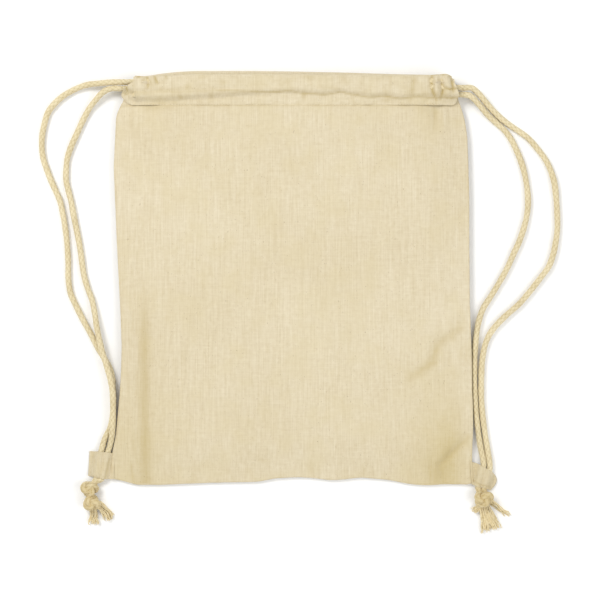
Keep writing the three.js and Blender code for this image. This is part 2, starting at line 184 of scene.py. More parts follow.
floor_material, tree = new_material("pale_board")
grain = tree.noise(tree.node("ShaderNodeTexCoord", output="Object"), scale=60, detail=3)
board = tree.mix(grain, (0.95, 0.95, 0.945, 1), (0.98, 0.98, 0.975, 1))
finish_material(tree, board, 0.9)
floor = mesh_object("floor", [(-3, -3, 0), (3, -3, 0), (3, 3, 0), (-3, 3, 0)], [(0, 1, 2, 3)])
floor.data.materials.append(floor_material)
floor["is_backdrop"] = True

world = bpy.data.worlds.new("soft_room")
world.use_nodes = True
world.node_tree.nodes["Background"].inputs["Color"].default_value = (1.0, 1.0, 1.0, 1)
world.node_tree.nodes["Background"].inputs["Strength"].default_value = 0.55
bpy.context.scene.world = world


def soft_panel(name, place, size, power):
    """A square light that faces the middle of the bag."""
    light = bpy.data.lights.new(name, "AREA")
    light.shape = "SQUARE"
    light.size = size
    light.energy = power
    lamp = bpy.data.objects.new(name, light)
    lamp.location = place
    lamp.rotation_mode = "QUATERNION"
    lamp.rotation_quaternion = (-Vector(place)).to_track_quat("-Z", "Y")
    bpy.context.scene.collection.objects.link(lamp)


soft_panel("key_panel", (-0.9, 0.9, 1.5), 0.7, 19)
soft_panel("fill_panel", (1.2, -0.4, 1.4), 1.2, 11)
soft_panel("low_panel", (-0.3, -1.5, 0.7), 1.0, 4)


# ---- The two cords ------------------------------------------------------------------------
# Solid-braided cotton, 6 mm across. Each one runs through both casings, leaves the mouth at its
# own side as two strands, and goes down through the tab at the bottom corner of that side.
CORD = 0.006
CORD_SIDES = 20
BRAID_PAIRS = 4
BRAID_PITCH = 0.0062
LEVEL_STEP = 0.0063
FLOOR_LEVEL = 0.0033
SIDE_LINE = 0.176
COTTON_PALE_AND_CROWN_LIGHT = (0.8, 0.7, 0.465, 1)
COTTON_DARK_AND_GROOVE_SHADE = (0.42, 0.31, 0.115, 1)
COTTON_BELOW_BAG = (0.53, 0.36, 0.09, 1)

hem_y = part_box("rear_casing")[0].y
bottom_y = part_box("bottom_seam")[0].y

cotton, tree = new_material("braided_cotton")
place = tree.node("ShaderNodeTexCoord", output="Object")
fibres = tree.noise(place, scale=1500, detail=3)
patches = tree.noise(place, scale=70, detail=2)
relief = tree.node("ShaderNodeAttribute", {"attribute_name": "relief"}, output="Fac")
# Painted shade in the braid's grooves and painted light on its crowns, from the relief, over random fibres
# and patches
lightness = relief * 0.42 + relief.above(0.22, 0.16) * 0.3 + fibres * 0.5 + patches * 0.6 - 0.32
colour = tree.mix(lightness, COTTON_DARK_AND_GROOVE_SHADE, COTTON_PALE_AND_CROWN_LIGHT)
height_on_bag = tree.node("ShaderNodeSeparateXYZ", {}, {"Vector": place}, output=1)
# The cord is darker and yellower below the bag's bottom seam, at the knots
below_bag = 1 - height_on_bag.above(bottom_y - 0.004, 0.006)
colour = tree.mix(below_bag * 0.27, colour, COTTON_BELOW_BAG)
fuzz = tree.node("ShaderNodeBump", {}, {"Strength": 0.25, "Distance": 0.0004, "Height": fibres})
finish_material(tree, colour, 0.9, normal=fuzz, sheen=0.15)


def smooth_path(points, spacing, closed=False):
    """Evenly spaced points on a centripetal Catmull-Rom curve through the given ones."""
    p = np.array(points, float)
    if closed:
        p = np.vstack([p[-1], p, p[:2]])
    else:
        p = np.vstack([2 * p[0] - p[1], p, 2 * p[-1] - p[-2]])
    knots = np.concatenate([[0], np.cumsum(np.sqrt(np.linalg.norm(np.diff(p, axis=0), axis=1)))])
    dense = []
    for i in range(1, len(p) - 2):
        t0, t1, t2, t3 = knots[i - 1 : i + 3]
        t = np.linspace(t1, t2, 24, endpoint=False)[:, None]
        a1 = ((t1 - t) * p[i - 1] + (t - t0) * p[i]) / (t1 - t0)
        a2 = ((t2 - t) * p[i] + (t - t1) * p[i + 1]) / (t2 - t1)
        a3 = ((t3 - t) * p[i + 1] + (t - t2) * p[i + 2]) / (t3 - t2)
        b1 = ((t2 - t) * a1 + (t - t0) * a2) / (t2 - t0)
        b2 = ((t3 - t) * a2 + (t - t1) * a3) / (t3 - t1)
        dense.append(((t2 - t) * b1 + (t - t1) * b2) / (t2 - t1))
    dense = np.vstack([*dense, p[-2:-1]])
    along = np.concatenate([[0], np.cumsum(np.linalg.norm(np.diff(dense, axis=0), axis=1))])
    count = max(4, round(along[-1] / spacing) + 1)
    even = np.linspace(0, along[-1], count)
    return np.column_stack([np.interp(even, along, dense[:, i]) for i in range(3)])


def braid_relief(along, around):
    """0 in the grooves and 1 on the crowns of a round braid. Around runs from 0 to 1."""
    first = around * BRAID_PAIRS + along / BRAID_PITCH
    second = around * BRAID_PAIRS - along / BRAID_PITCH
    over = (np.floor(first) + np.floor(second)) % 2 == 0
    across = np.where(over, first, second) % 1
    lengthwise = np.where(over, second, first) % 1
    return np.sin(np.pi * across) ** 0.8 * (0.45 + 0.55 * np.sin(np.pi * lengthwise) ** 0.6)


def braided_tube(name, path, radius=CORD / 2, closed=False, slack=0.0):
    """A braided cord along a path, with the relief of its braid as a point attribute."""
    sides = CORD_SIDES
    count = len(path)
    if closed:
        tangents = np.roll(path, -1, axis=0) - np.roll(path, 1, axis=0)
    else:
        tangents = np.gradient(path, axis=0)
    tangents /= np.linalg.norm(tangents, axis=1)[:, None]
    normal = np.cross(tangents[0], (0.3, 0.2, 1.0))
    points = []
    relief_values = []
    along = 0.0
    around = np.arange(sides) / sides
    for i in range(count):
        normal = normal - tangents[i] * (normal @ tangents[i])
        normal /= np.linalg.norm(normal)
        side = np.cross(tangents[i], normal)
        if i:
            along += np.linalg.norm(path[i] - path[i - 1])
        height = braid_relief(np.full(sides, along), around)
        swell = 1 + slack * noise.noise(Vector(path[i] * 90))
        size = radius * swell * (0.86 + 0.17 * height)
        angle = around[:, None] * 2 * math.pi
        points.extend(path[i] + size[:, None] * (np.cos(angle) * normal + np.sin(angle) * side))
        relief_values.extend(height)
    rings = count if closed else count - 1
    faces = []
    for i in range(rings):
        low = i * sides
        high = ((i + 1) % count) * sides
        for j in range(sides):
            k = (j + 1) % sides
            faces.append((low + j, low + k, high + k, high + j))
    if not closed:
        for end, step in ((0, -1), (count - 1, 1)):
            middle = len(points)
            points.append(path[end] + tangents[end] * step * radius * 0.5)
            relief_values.append(0.6)
            ring = [end * sides + j for j in range(sides)]
            for j in range(sides):
                pair = (ring[j], ring[(j + 1) % sides])
                faces.append((*(pair if step > 0 else pair[::-1]), middle))
    tube = mesh_object(name, points, faces)
    attribute = tube.data.attributes.new("relief", "FLOAT", "POINT")
    attribute.data.foreach_set("value", np.array(relief_values, np.float32))
    tube.data.materials.append(cotton)
    return tube


CORD_STEP = 0.00075
HINGE_X = 0.1705
EXIT_Z = 0.0109
PITCH = 0.0066
EXIT_Y = {"left": hem_y + 0.0225, "right": hem_y + 0.0168}
SIDES = {"left": -1, "right": 1}
# Each point of a free strand: how far outside the side seam's line it lies, how far above the hem
# (upper) or the bottom seam (lower), and its level, 0 on the floor and 1 on top of another cord.
STRANDS = {
    "left_outer": (
        [
            (0.003, 0.0226, 1.1), (0.0179, 0.0217, 0.7), (0.0307, 0.0205, 0.25), (0.0422, 0.0166, 0),
            (0.0536, 0.0103, 0), (0.0626, 0.0026, 0), (0.0696, -0.0063, 0), (0.0734, -0.0178, 0),
            (0.0757, -0.0293, 0), (0.0762, -0.042, 0), (0.0747, -0.0535, 0), (0.0709, -0.065, 0),
            (0.067, -0.0752, 0), (0.0619, -0.0867, 0), (0.0581, -0.0956, 0), (0.0555, -0.1071, 0),
            (0.053, -0.1211, 0), (0.0511, -0.1364, 0), (0.0498, -0.1552, 0),
        ],
        [
            (0.0495, 0.2022, 0), (0.0472, 0.1884, 0), (0.0411, 0.1747, 0), (0.0334, 0.1593, 0),
            (0.0258, 0.1456, 0), (0.0197, 0.1333, 0), (0.0122, 0.1211, 0), (0.0064, 0.109, 0),
            (0.0046, 0.092, 0), (0.0046, 0.071, 0), (0.0076, 0.054, 0), (0.0136, 0.041, 0.02),
        ],
    ),
    "left_inner": (
        [
            (0.0056, 0.0162, 1), (0.0141, 0.0128, 0.75), (0.0217, 0.0052, 0.45), (0.0281, -0.0025, 0.15),
            (0.0345, -0.014, 0), (0.0409, -0.028, 0), (0.0466, -0.0408, 0), (0.0504, -0.0522, 0),
            (0.0517, -0.0637, 0), (0.0518, -0.0752, 0), (0.0492, -0.0867, 0), (0.0466, -0.0969, 0),
            (0.0441, -0.1109, 0), (0.0415, -0.1237, 0), (0.0383, -0.1402, 0), (0.0365, -0.1521, 0),
        ],
        [
            (0.0342, 0.2083, 0), (0.0304, 0.1945, 0), (0.0258, 0.1823, 0.1), (0.0227, 0.1685, 0.45),
            (0.0204, 0.1548, 0.85), (0.0174, 0.141, 1), (0.0143, 0.1287, 1), (0.0105, 0.1165, 1),
            (0.0066, 0.1027, 1), (0.0044, 0.0889, 1), (0.004, 0.0752, 1), (0.0042, 0.0614, 1),
            (0.0049, 0.05, 0.9), (0.0064, 0.041, 0.4), (0.0084, 0.0335, 0.04),
        ],
    ),
    "right_outer": (
        [
            (0.003, 0.0166, 1.1), (0.01, 0.011, 0.85), (0.017, 0.003, 0.55), (0.0245, -0.0052, 0.2),
            (0.032, -0.0123, 0), (0.0405, -0.0191, 0), (0.0501, -0.0255, 0), (0.0603, -0.0331, 0),
            (0.0692, -0.0433, 0), (0.0769, -0.0535, 0), (0.0826, -0.065, 0), (0.0864, -0.0777, 0),
            (0.0883, -0.0931, 0), (0.0892, -0.1084, 0), (0.0894, -0.1237, 0), (0.0877, -0.1377, 0),
            (0.085, -0.1503, 0),
        ],
        [
            (0.0807, 0.2155, 0), (0.0721, 0.2037, 0), (0.0614, 0.19, 0), (0.0507, 0.1777, 0),
            (0.0385, 0.167, 0), (0.0279, 0.1563, 0), (0.0203, 0.1456, 0), (0.0159, 0.1333, 0),
            (0.0136, 0.118, 0), (0.013, 0.1012, 0), (0.013, 0.0843, 0), (0.0144, 0.066, 0),
            (0.017, 0.0461, 0), (0.0196, 0.029, 0.05),
        ],
    ),
    "right_inner": (
        [
            (0.0015, 0.0086, 1.05), (0.0093, 0.0013, 0.75), (0.0195, -0.0101, 0.3), (0.0284, -0.0178, 0),
            (0.0361, -0.0248, 0), (0.0424, -0.0331, 0), (0.0482, -0.0446, 0), (0.0533, -0.0573, 0),
            (0.0571, -0.0714, 0), (0.0593, -0.0854, 0), (0.0599, -0.0994, 0), (0.0584, -0.1122, 0),
            (0.0552, -0.1249, 0), (0.0501, -0.139, 0), (0.0461, -0.1475, 0),
        ],
        [
            (0.0392, 0.2144, 0), (0.0308, 0.1991, 0), (0.0224, 0.1854, 0), (0.0147, 0.1731, 0),
            (0.0101, 0.1593, 0), (0.0075, 0.1425, 0), (0.0063, 0.1257, 0), (0.006, 0.1088, 0),
            (0.0063, 0.092, 0), (0.0072, 0.0736, 0), (0.0088, 0.0583, 0), (0.0116, 0.038, 0.02),
        ],
    ),
}
TAB_LENGTH = {"left": 0.025, "right": 0.02}
TAB_TURN = {"left": math.radians(-10), "right": math.radians(-17)}
TAB_CORD_SHIFT = 0.0025


def tab_point(side, across, along, z=0.0042):
    """A point given in a tab's own directions, from the middle of the tab."""
    low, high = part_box(f"{side}_tab")
    turn = TAB_TURN[side]
    x = (low.x + high.x) / 2 + across * math.cos(turn) - along * math.sin(turn)
    y = (low.y + high.y) / 2 + across * math.sin(turn) + along * math.cos(turn)
    return (x, y, z)


strand_facts = {}
for name, (upper, lower) in STRANDS.items():
    side, place_name = name.split("_")
    sign = SIDES[side]
    outer = place_name == "outer"
    exit_point = (sign * HINGE_X, EXIT_Y[side] - (0 if outer else PITCH), EXIT_Z)
    route = [exit_point]
    for base, points in ((hem_y, upper), (bottom_y, lower)):
        for out, up, level in points:
            route.append((sign * (SIDE_LINE + out), base + up, FLOOR_LEVEL + level * LEVEL_STEP))
    across = sign * ((PITCH / 2 if outer else -PITCH / 2) - TAB_CORD_SHIFT)
    half = TAB_LENGTH[side] / 2
    for along in (half + 0.001, 0, 0.0015 - half):
        route.append(tab_point(side, across, along))
    path = smooth_path(route, CORD_STEP)
    strand = braided_tube(f"{name}_cord", path, slack=0.1)
    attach(strand, f"{side}_strap")
    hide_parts(f"{name}_strand")
    strand_facts[name] = (strand, path, exit_point)

# Inside the casings each cord lies in the front and in the rear one, and turns back at the far side.
RUN_STEP = 0.0012
RUN_END = HINGE_X - 0.0005
TURN_START = 0.15
TURN_RADIUS = 0.0067
FRONT_CORD_Z = 0.0176
REAR_CORD_Z = 0.0042
MIDDLE_Y = {"left": hem_y + 0.0232, "right": hem_y + 0.0166}
TURN_Y = {"left": hem_y + 0.0232, "right": hem_y + 0.0091}


def gather(obj):
    """Bakes the piece's place into its mesh."""
    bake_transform(obj)


def run_in_casing(name, sign, points):
    """A stretch of cord inside a casing. Its points give how far out it lies, toward the signed side."""
    path = smooth_path([(sign * x, y, z) for x, y, z in points], RUN_STEP)
    run = braided_tube(name, path)
    return run


for side, sign in SIDES.items():
    other = "right" if side == "left" else "left"
    middle, turn_y = MIDDLE_Y[side], TURN_Y[side]
    layers = (("front", FRONT_CORD_Z, EXIT_Y[side]), ("rear", REAR_CORD_Z, EXIT_Y[side] - PITCH))
    for layer, z, end_y in layers:
        near = [(0.00015, middle, z), (0.078, middle, z), (0.1222, middle, z)]
        near += [(0.1332, (middle + end_y) / 2, z), (0.1452, end_y, z)]
        near += [(0.1522, end_y, z * 0.75 + EXIT_Z * 0.25), (0.1592, end_y, z * 0.2 + EXIT_Z * 0.8)]
        near += [(RUN_END, end_y, EXIT_Z)]
        run = run_in_casing(f"{side}_cord_{layer}_run", sign, near)
        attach(run, "bag")
        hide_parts(f"{side}_cord_{layer}_near_run")
        far = [(0.0002, middle, z), (0.075, (middle + turn_y) / 2, z), (0.1495, turn_y, z)]
        run = run_in_casing(f"{side}_cord_{layer}_far", -sign, far)
        gather(run)
        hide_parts(f"{side}_cord_{layer}_far_run")
    turn = [(TURN_START, turn_y, FRONT_CORD_Z), (TURN_START + 0.001, turn_y, FRONT_CORD_Z)]
    for i in range(9):
        angle = math.pi * i / 8
        out = TURN_START + 0.002 + TURN_RADIUS * math.sin(angle)
        turn.append((out, turn_y, EXIT_Z + TURN_RADIUS * math.cos(angle)))
    turn += [(TURN_START + 0.001, turn_y, REAR_CORD_Z), (TURN_START, turn_y, REAR_CORD_Z)]
    loop = run_in_casing(f"{side}_turn", -sign, turn)
    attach(loop, f"{other}_mouth")
    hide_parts(f"{side}_cord_turn")


# ---- Rear panel ---------------------------------------------------------------------------
# One cut piece of plain-woven calico lies on the floor and turns up at its edges to the seams. It is
# made as a left and a right half, which meet in the middle.
CLOTH = 0.0007
REAR_CELL = 0.003
REAR_TURN_UP = 0.022
CORNER_REACH = 0.008
HALF_SPAN = (0.178, 0.38)
CALICO_PALE = (0.79, 0.708, 0.53, 1)
CALICO_DEEP = (0.6, 0.495, 0.3, 1)
CALICO_YELLOW = (0.68, 0.58, 0.35, 1)
CALICO_STAIN_AND_SHADE = (0.5, 0.385, 0.16, 1)
CALICO_CORNER = (0.53, 0.41, 0.13, 1)
FLECK = (0.3, 0.19, 0.08, 1)

LEFT_EDGE = [
    (0.182, -0.169), (0.166, -0.1765), (0.115, -0.179), (0.041, -0.176), (0.003, -0.174),
    (-0.035, -0.172), (-0.066, -0.171), (-0.089, -0.1715), (-0.124, -0.174), (-0.143, -0.176),
    (-0.159, -0.178), (-0.173, -0.181), (-0.198, -0.182), (-0.21, -0.182),
]
RIGHT_EDGE = [
    (0.187, 0.164), (0.176, 0.167), (0.163, 0.171), (0.145, 0.174), (0.119, 0.175), (0.081, 0.176),
    (0.041, 0.176), (-0.02, 0.1765), (-0.074, 0.1785), (-0.112, 0.179), (-0.143, 0.18), (-0.182, 0.179),
    (-0.204, 0.181), (-0.21, 0.181),
]
BOTTOM_EDGE = [
    (-0.189, -0.198), (-0.182, -0.1976), (-0.171, -0.2), (-0.162, -0.202), (-0.159, -0.204),
    (-0.133, -0.204), (-0.087, -0.202), (-0.035, -0.201), (-0.019, -0.1976), (0.006, -0.1963),
    (0.019, -0.197), (0.035, -0.1993), (0.047, -0.199), (0.066, -0.1968), (0.078, -0.1975),
    (0.096, -0.199), (0.11, -0.202), (0.124, -0.204), (0.138, -0.2045), (0.15, -0.2033),
    (0.176, -0.2038), (0.185, -0.201),
]


def steady(points):
    """A smooth function through points given as (where, value), with no overshoot."""
    p = np.array(sorted(points))
    fine = np.linspace(p[0, 0], p[-1, 0], 400)
    values = np.interp(fine, p[:, 0], p[:, 1])
    kernel = np.hanning(17)
    padded = np.pad(values, 8, mode="edge")
    values = np.convolve(padded, kernel / kernel.sum(), mode="valid")
    return lambda at: np.interp(at, fine, values)


edge_x = {"left": steady(LEFT_EDGE), "right": steady(RIGHT_EDGE)}
edge_y = steady(BOTTOM_EDGE)


def smooth(value, low, high):
    t = np.clip((value - low) / (high - low), 0, 1)
    return t * t * (3 - 2 * t)


def seam_height(y):
    """Height of the middle of the side and bottom seams."""
    return 0.003 + 0.0045 * smooth(y, bottom_y, bottom_y + 0.08)


def waves(x, y, scale, seed):
    """Soft noise between -1 and 1 at each point, its features about 1/scale apart."""
    flat = np.column_stack([np.ravel(x) * scale, np.ravel(y) * scale])
    values = [noise.noise(Vector((u, v, seed))) for u, v in flat]
    return np.array(values).reshape(np.shape(x))


def panel_grid(side, cell, top_y):
    """Rows and columns of x and y over one half of the bag. Its top corner reaches a little higher."""
    sign = SIDES[side]
    columns = round(HALF_SPAN[0] / cell) + 1
    rows = round(HALF_SPAN[1] / cell) + 1
    u, v = np.meshgrid(np.linspace(0, 1, columns), np.linspace(0, 1, rows))
    low = edge_y(sign * u * 0.18)
    top = top_y + CORNER_REACH * smooth(u, 0.93, 0.99)
    y = low + (top - low) * v
    x = u * edge_x[side](y)
    return x, y


def add_tint(obj, values):
    attribute = obj.data.attributes.new("tint", "FLOAT", "POINT")
    attribute.data.foreach_set("value", np.ravel(values).astype(np.float32))


def cloth_sheet(name, points, outward, tint=None, keep=None):
    """Cloth over a grid of points (rows, columns, 3), thickened away from the outward direction.

    Faces where keep is False are left out. The cut edges are sharp, so that two sheets that meet
    edge to edge look like one.
    """
    rows, columns, _ = points.shape
    normals = np.cross(np.gradient(points, axis=1), np.gradient(points, axis=0))
    normals /= np.linalg.norm(normals, axis=2)[:, :, None] + 1e-12
    turned = float((normals * outward).sum()) < 0
    if turned:
        normals = -normals
    index = np.arange(rows * columns).reshape(rows, columns)
    corners = [index[:-1, :-1], index[:-1, 1:], index[1:, 1:], index[1:, :-1]]
    quads = np.stack(corners, axis=-1)
    quads = quads[keep] if keep is not None else quads.reshape(-1, 4)
    if turned:
        quads = quads[:, ::-1]
    used = np.unique(quads)
    renumber = np.zeros(rows * columns, int)
    renumber[used] = np.arange(len(used))
    quads = renumber[quads]
    count = len(used)
    outer = points.reshape(-1, 3)[used]
    inner = outer - normals.reshape(-1, 3)[used] * CLOTH
    forward = {(int(a), int(b)) for quad in quads for a, b in zip(quad, np.roll(quad, -1))}
    rim = [(a, b) for a, b in forward if (b, a) not in forward]
    faces = [tuple(quad) for quad in quads]
    faces += [tuple(quad[::-1] + count) for quad in quads]
    faces += [(b, a, a + count, b + count) for a, b in sorted(rim)]
    made = mesh_object(name, np.vstack([outer, inner]), faces)
    cut = {tuple(sorted(pair)) for pair in rim}
    cut |= {(a + count, b + count) for a, b in cut}
    ends = np.empty(len(made.data.edges) * 2, np.int32)
    made.data.edges.foreach_get("vertices", ends)
    sharp = [tuple(sorted(pair)) in cut for pair in ends.reshape(-1, 2).tolist()]
    made.data.attributes.new("sharp_edge", "BOOLEAN", "EDGE").data.foreach_set("value", sharp)
    shade = np.zeros(count) if tint is None else np.ravel(tint)[used]
    add_tint(made, np.concatenate([shade, shade]))
    made.data.materials.append(calico)
    return made


calico, tree = new_material("unbleached_calico")
place = tree.node("ShaderNodeTexCoord", output="Object")
slubs = tree.noise(tree.stretched(place, (1050, 34, 300)), detail=2)
picks = tree.noise(tree.stretched(place, (60, 1000, 300)), detail=2)
mottle = tree.noise(place, scale=260, detail=3)
drift = tree.noise(place, scale=9, detail=2)
level = slubs * 0.9 + picks * 0.4 + mottle * 0.6 + drift * 0.5 - 0.62
tint = tree.node("ShaderNodeAttribute", {"attribute_name": "tint"}, output="Fac")
colour = tree.mix(level, CALICO_DEEP, CALICO_PALE)
yellowed = tree.noise(place, scale=42, detail=3).above(0.55, 0.14)
colour = tree.mix(yellowed * 0.3, colour, CALICO_YELLOW)
along_x = tree.node("ShaderNodeSeparateXYZ", {}, {"Vector": place}, output=0)
along_y = tree.node("ShaderNodeSeparateXYZ", {}, {"Vector": place}, output=1)
low = 1 - along_y.above(-0.125, 0.075)
right_corner = along_x.above(0.13, 0.045) * (0.5 - along_x.above(0.166, 0.012) * 0.4)
left_corner = (along_x * -1).above(0.12, 0.035) * (0.2 - (along_x * -1).above(0.178, 0.008) * 0.14)
corners = right_corner + left_corner
colour = tree.mix(low * corners, colour, CALICO_CORNER)
# The tint attribute paints shade in hollows, creases and along hems, and brown stains, in this deep brown
colour = tree.mix(tint, colour, CALICO_STAIN_AND_SHADE)
spots = tree.noise(tree.stretched(place, (1500, 420, 800)), detail=1).above(0.72, 0.015)
patches = tree.noise(place, scale=210, detail=1).above(0.56, 0.05)
colour = tree.mix(spots * patches * 0.6, colour, FLECK)
warp = (along_x * (2 * math.pi / 0.00058) + slubs * 5).sine()
weft = (along_y * (2 * math.pi / 0.00062) + picks * 5).sine()
weave = warp * 0.5 + weft * 0.5 + slubs * 2.2 + picks * 1.4
bump = tree.node("ShaderNodeBump", {}, {"Strength": 0.5, "Distance": 0.00014, "Height": weave})
finish_material(tree, colour, 0.93, normal=bump, sheen=0.1)

for side in SIDES:
    x, y = panel_grid(side, REAR_CELL, hem_y - 0.0003)
    from_side = np.abs(edge_x[side](y)) - np.abs(x)
    from_bottom = y - edge_y(x)
    inside = smooth(from_side, 0, REAR_TURN_UP) * smooth(from_bottom, 0, REAR_TURN_UP)
    lift = (seam_height(y) - 0.0006) * (1 - inside)
    z = lift + 0.0003 + 0.0002 * inside * (1 + waves(x, y, 30, 3))
    half = cloth_sheet(f"rear_panel_{side}", np.dstack([x, y, z]), (0, 0, -1))
    gather(half)
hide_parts("rear_panel")
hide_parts("rear_panel")


# ---- Front panel --------------------------------------------------------------------------
# The matching piece of calico, sewn to the rear one at the sides and the bottom with the seams
# inside. It crowns a little, lies in a few soft folds, and shows the seam allowance at its left.
FRONT_CELL = 0.0016
FRONT_PLATEAU = 0.0141
SAG = 0.0022
RISE_BAND = 0.05
EDGE_RISE = 0.0011
HEM_BAND = 0.06
FOOT_SAG = 0.0015
FOOT_BAND = 0.12

SEAM_ALLOWANCE = [
    (-0.1545, 0.09), (-0.155, 0.041), (-0.158, -0.035), (-0.158, -0.127), (-0.155, -0.16), (-0.155, -0.19),
]
ALLOWANCE_SHADE = [(-0.1485, 0.02), (-0.149, -0.05), (-0.1485, -0.127), (-0.148, -0.2)]
# Each fold: its line, half its width, and its height, which is below 0 for a hollow
FOLDS = [
    ([(0.168, -0.047), (0.145, -0.063), (0.14, -0.081), (0.115, -0.099)], 0.006, -0.0019),
    ([(0.171, -0.053), (0.149, -0.069), (0.144, -0.086), (0.12, -0.105)], 0.006, 0.0011),
    ([(0.175, -0.157), (0.148, -0.185), (0.152, -0.199)], 0.004, -0.0018),
    ([(0.17, -0.152), (0.142, -0.182), (0.145, -0.199)], 0.004, 0.001),
    ([(0.137, -0.178), (0.137, -0.204)], 0.0016, -0.001),
    ([(0.151, 0.172), (0.15, 0.15)], 0.005, 0.0014),
    ([(0.1425, 0.174), (0.143, 0.155)], 0.004, -0.0013),
    ([(-0.1625, -0.184), (-0.16, -0.203)], 0.0016, -0.0014),
    ([(-0.036, -0.179), (-0.024, -0.179)], 0.0018, -0.0006),
    ([(0.087, -0.068), (0.087, -0.083)], 0.006, 0.0006),
    ([(0.122, -0.108), (0.122, -0.124)], 0.007, 0.0006),
    ([(0.04, -0.072), (0.04, -0.083)], 0.006, 0.0005),
    ([(-0.1, -0.203), (-0.1, -0.19)], 0.004, -0.0005),
    ([(0.02, -0.197), (0.018, -0.182)], 0.005, -0.0006),
    ([(0.07, -0.197), (0.071, -0.184)], 0.005, -0.0006),
]


def near_line(x, y, points):
    """Distance to a line of points, and how far along it the nearest point is, from 0 to 1."""
    points = np.array(points)
    lengths = np.linalg.norm(np.diff(points, axis=0), axis=1)
    nearest = np.full(np.shape(x), 1.0)
    along = np.zeros(np.shape(x))
    gone = 0.0
    for start, end, length in zip(points[:-1], points[1:], lengths):
        step_x, step_y = end - start
        t = np.clip(((x - start[0]) * step_x + (y - start[1]) * step_y) / length**2, 0, 1)
        distance = np.hypot(x - start[0] - t * step_x, y - start[1] - t * step_y)
        closer = distance < nearest
        nearest = np.where(closer, distance, nearest)
        along = np.where(closer, (gone + t * length) / lengths.sum(), along)
        gone += length
    return nearest, along


def hump(distance, width):
    """1 on a line and fading to 0 beside it."""
    return np.exp(-((distance / width) ** 2))


def folded(x, y, folds):
    """The height that some folds add, and how deep in their hollows each point is, from 0 to 1."""
    height = np.zeros(np.shape(x))
    hollow = np.zeros(np.shape(x))
    for line, width, rise in folds:
        distance, along = near_line(x, y, line)
        fade = 0.35 + 0.65 * np.sin(np.pi * np.clip(along, 0.02, 0.98)) ** 0.5
        height += rise * hump(distance, width) * fade
        if rise < 0:
            hollow = np.maximum(hollow, hump(distance, width * 0.8) * fade * min(1, -rise / 0.0015))
    return height, hollow
# Darker brownish patches of the front panel: the first two are painted shadow in the fold and the crease at
# the lower right, the others darken the cloth near the ends of the casing. A line through each, its half
# width and its strength
SHADOWS_AND_DARK_PATCHES = [
    ([(0.17, -0.158), (0.156, -0.168), (0.147, -0.188), (0.146, -0.197)], 0.0075, 0.42),
    ([(0.1385, -0.17), (0.1375, -0.2)], 0.0012, 0.35),
    ([(-0.163, 0.168), (-0.158, 0.155), (-0.155, 0.138)], 0.008, 0.16),
    ([(-0.112, 0.1725), (-0.128, 0.1735), (-0.146, 0.174)], 0.004, 0.3),
    ([(0.12, 0.173), (0.138, 0.168), (0.145, 0.155)], 0.006, 0.18),
]


def front_height(side, x, y):
    """Height of the front panel's outer face."""
    from_side = np.abs(edge_x[side](y)) - np.abs(x)
    from_bottom = y - edge_y(x)
    rise = smooth(from_side, -0.004, RISE_BAND) * smooth(from_bottom, -0.004, RISE_BAND)
    edge = seam_height(y) + EDGE_RISE
    from_foot = smooth(y, bottom_y, bottom_y + FOOT_BAND)
    to_hem = smooth(y, hem_y - HEM_BAND, hem_y)
    plateau = FRONT_PLATEAU - SAG * (1 - to_hem) - FOOT_SAG * (1 - from_foot)
    z = edge + (plateau - edge) * rise
    z += 0.0005 * waves(x, y, 14, 1) * rise + 0.0004 * waves(x, y, 42, 5) * smooth(from_side, 0, 0.02)
    z += 0.00018 * waves(x, y, 95, 47)
    z += folded(x, y, FOLDS)[0]
    distance, along = near_line(x, y, SEAM_ALLOWANCE)
    z += 0.0008 * hump(distance, 0.0022) * smooth(along, 0, 0.3)
    distance, along = near_line(x, y, ALLOWANCE_SHADE)
    z -= 0.0007 * hump(distance, 0.005) * smooth(along, 0, 0.4)
    pucker = waves(x * 9, y * 0.6, 22, 7) * hump(np.maximum(hem_y - y, 0), 0.008)
    seam_pucker = waves(x * 0.7, y * 5, 22, 9) * hump(np.maximum(from_side, 0), 0.006)
    bottom_pucker = waves(x * 5, y * 0.7, 22, 11) * hump(np.maximum(from_bottom, 0), 0.008)
    return z + 0.00045 * pucker + 0.0003 * seam_pucker + 0.0004 * bottom_pucker


for side in SIDES:
    x, y = panel_grid(side, FRONT_CELL, hem_y + 0.0006)
    z = front_height(side, x, y)
    # The tint is painted shade beside the seam allowance, in the folds' hollows and in a line just under
    # the casing's hem, and the darker patches listed above
    distance, along = near_line(x, y, ALLOWANCE_SHADE)
    tint = 0.45 * hump(distance, 0.0055) * smooth(along, 0, 0.45)
    tint = np.maximum(tint, 0.4 * folded(x, y, FOLDS)[1])
    tint = np.maximum(tint, 0.3 * hump(y - hem_y + 0.001, 0.0012))
    patchy = 0.8 + 0.3 * waves(x, y, 90, 83)
    for line, width, strength in SHADOWS_AND_DARK_PATCHES:
        distance, along = near_line(x, y, line)
        darkening = strength * hump(distance, width) * (0.4 + 0.6 * smooth(along, 0, 0.6)) * patchy
        tint = np.maximum(tint, darkening)
    half = cloth_sheet(f"front_panel_{side}", np.dstack([x, y, z]), (0, 0, 1), tint=tint)
    gather(half)
    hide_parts("front_panel")


# ---- Side and bottom seams ----------------------------------------------------------------
# The two panels are joined wrong side out and turned, so only a thin rolled edge shows. Small
# puckers run across it.
SEAM_RADIUS = (0.001, 0.0015)
SEAM_SIDES = 10


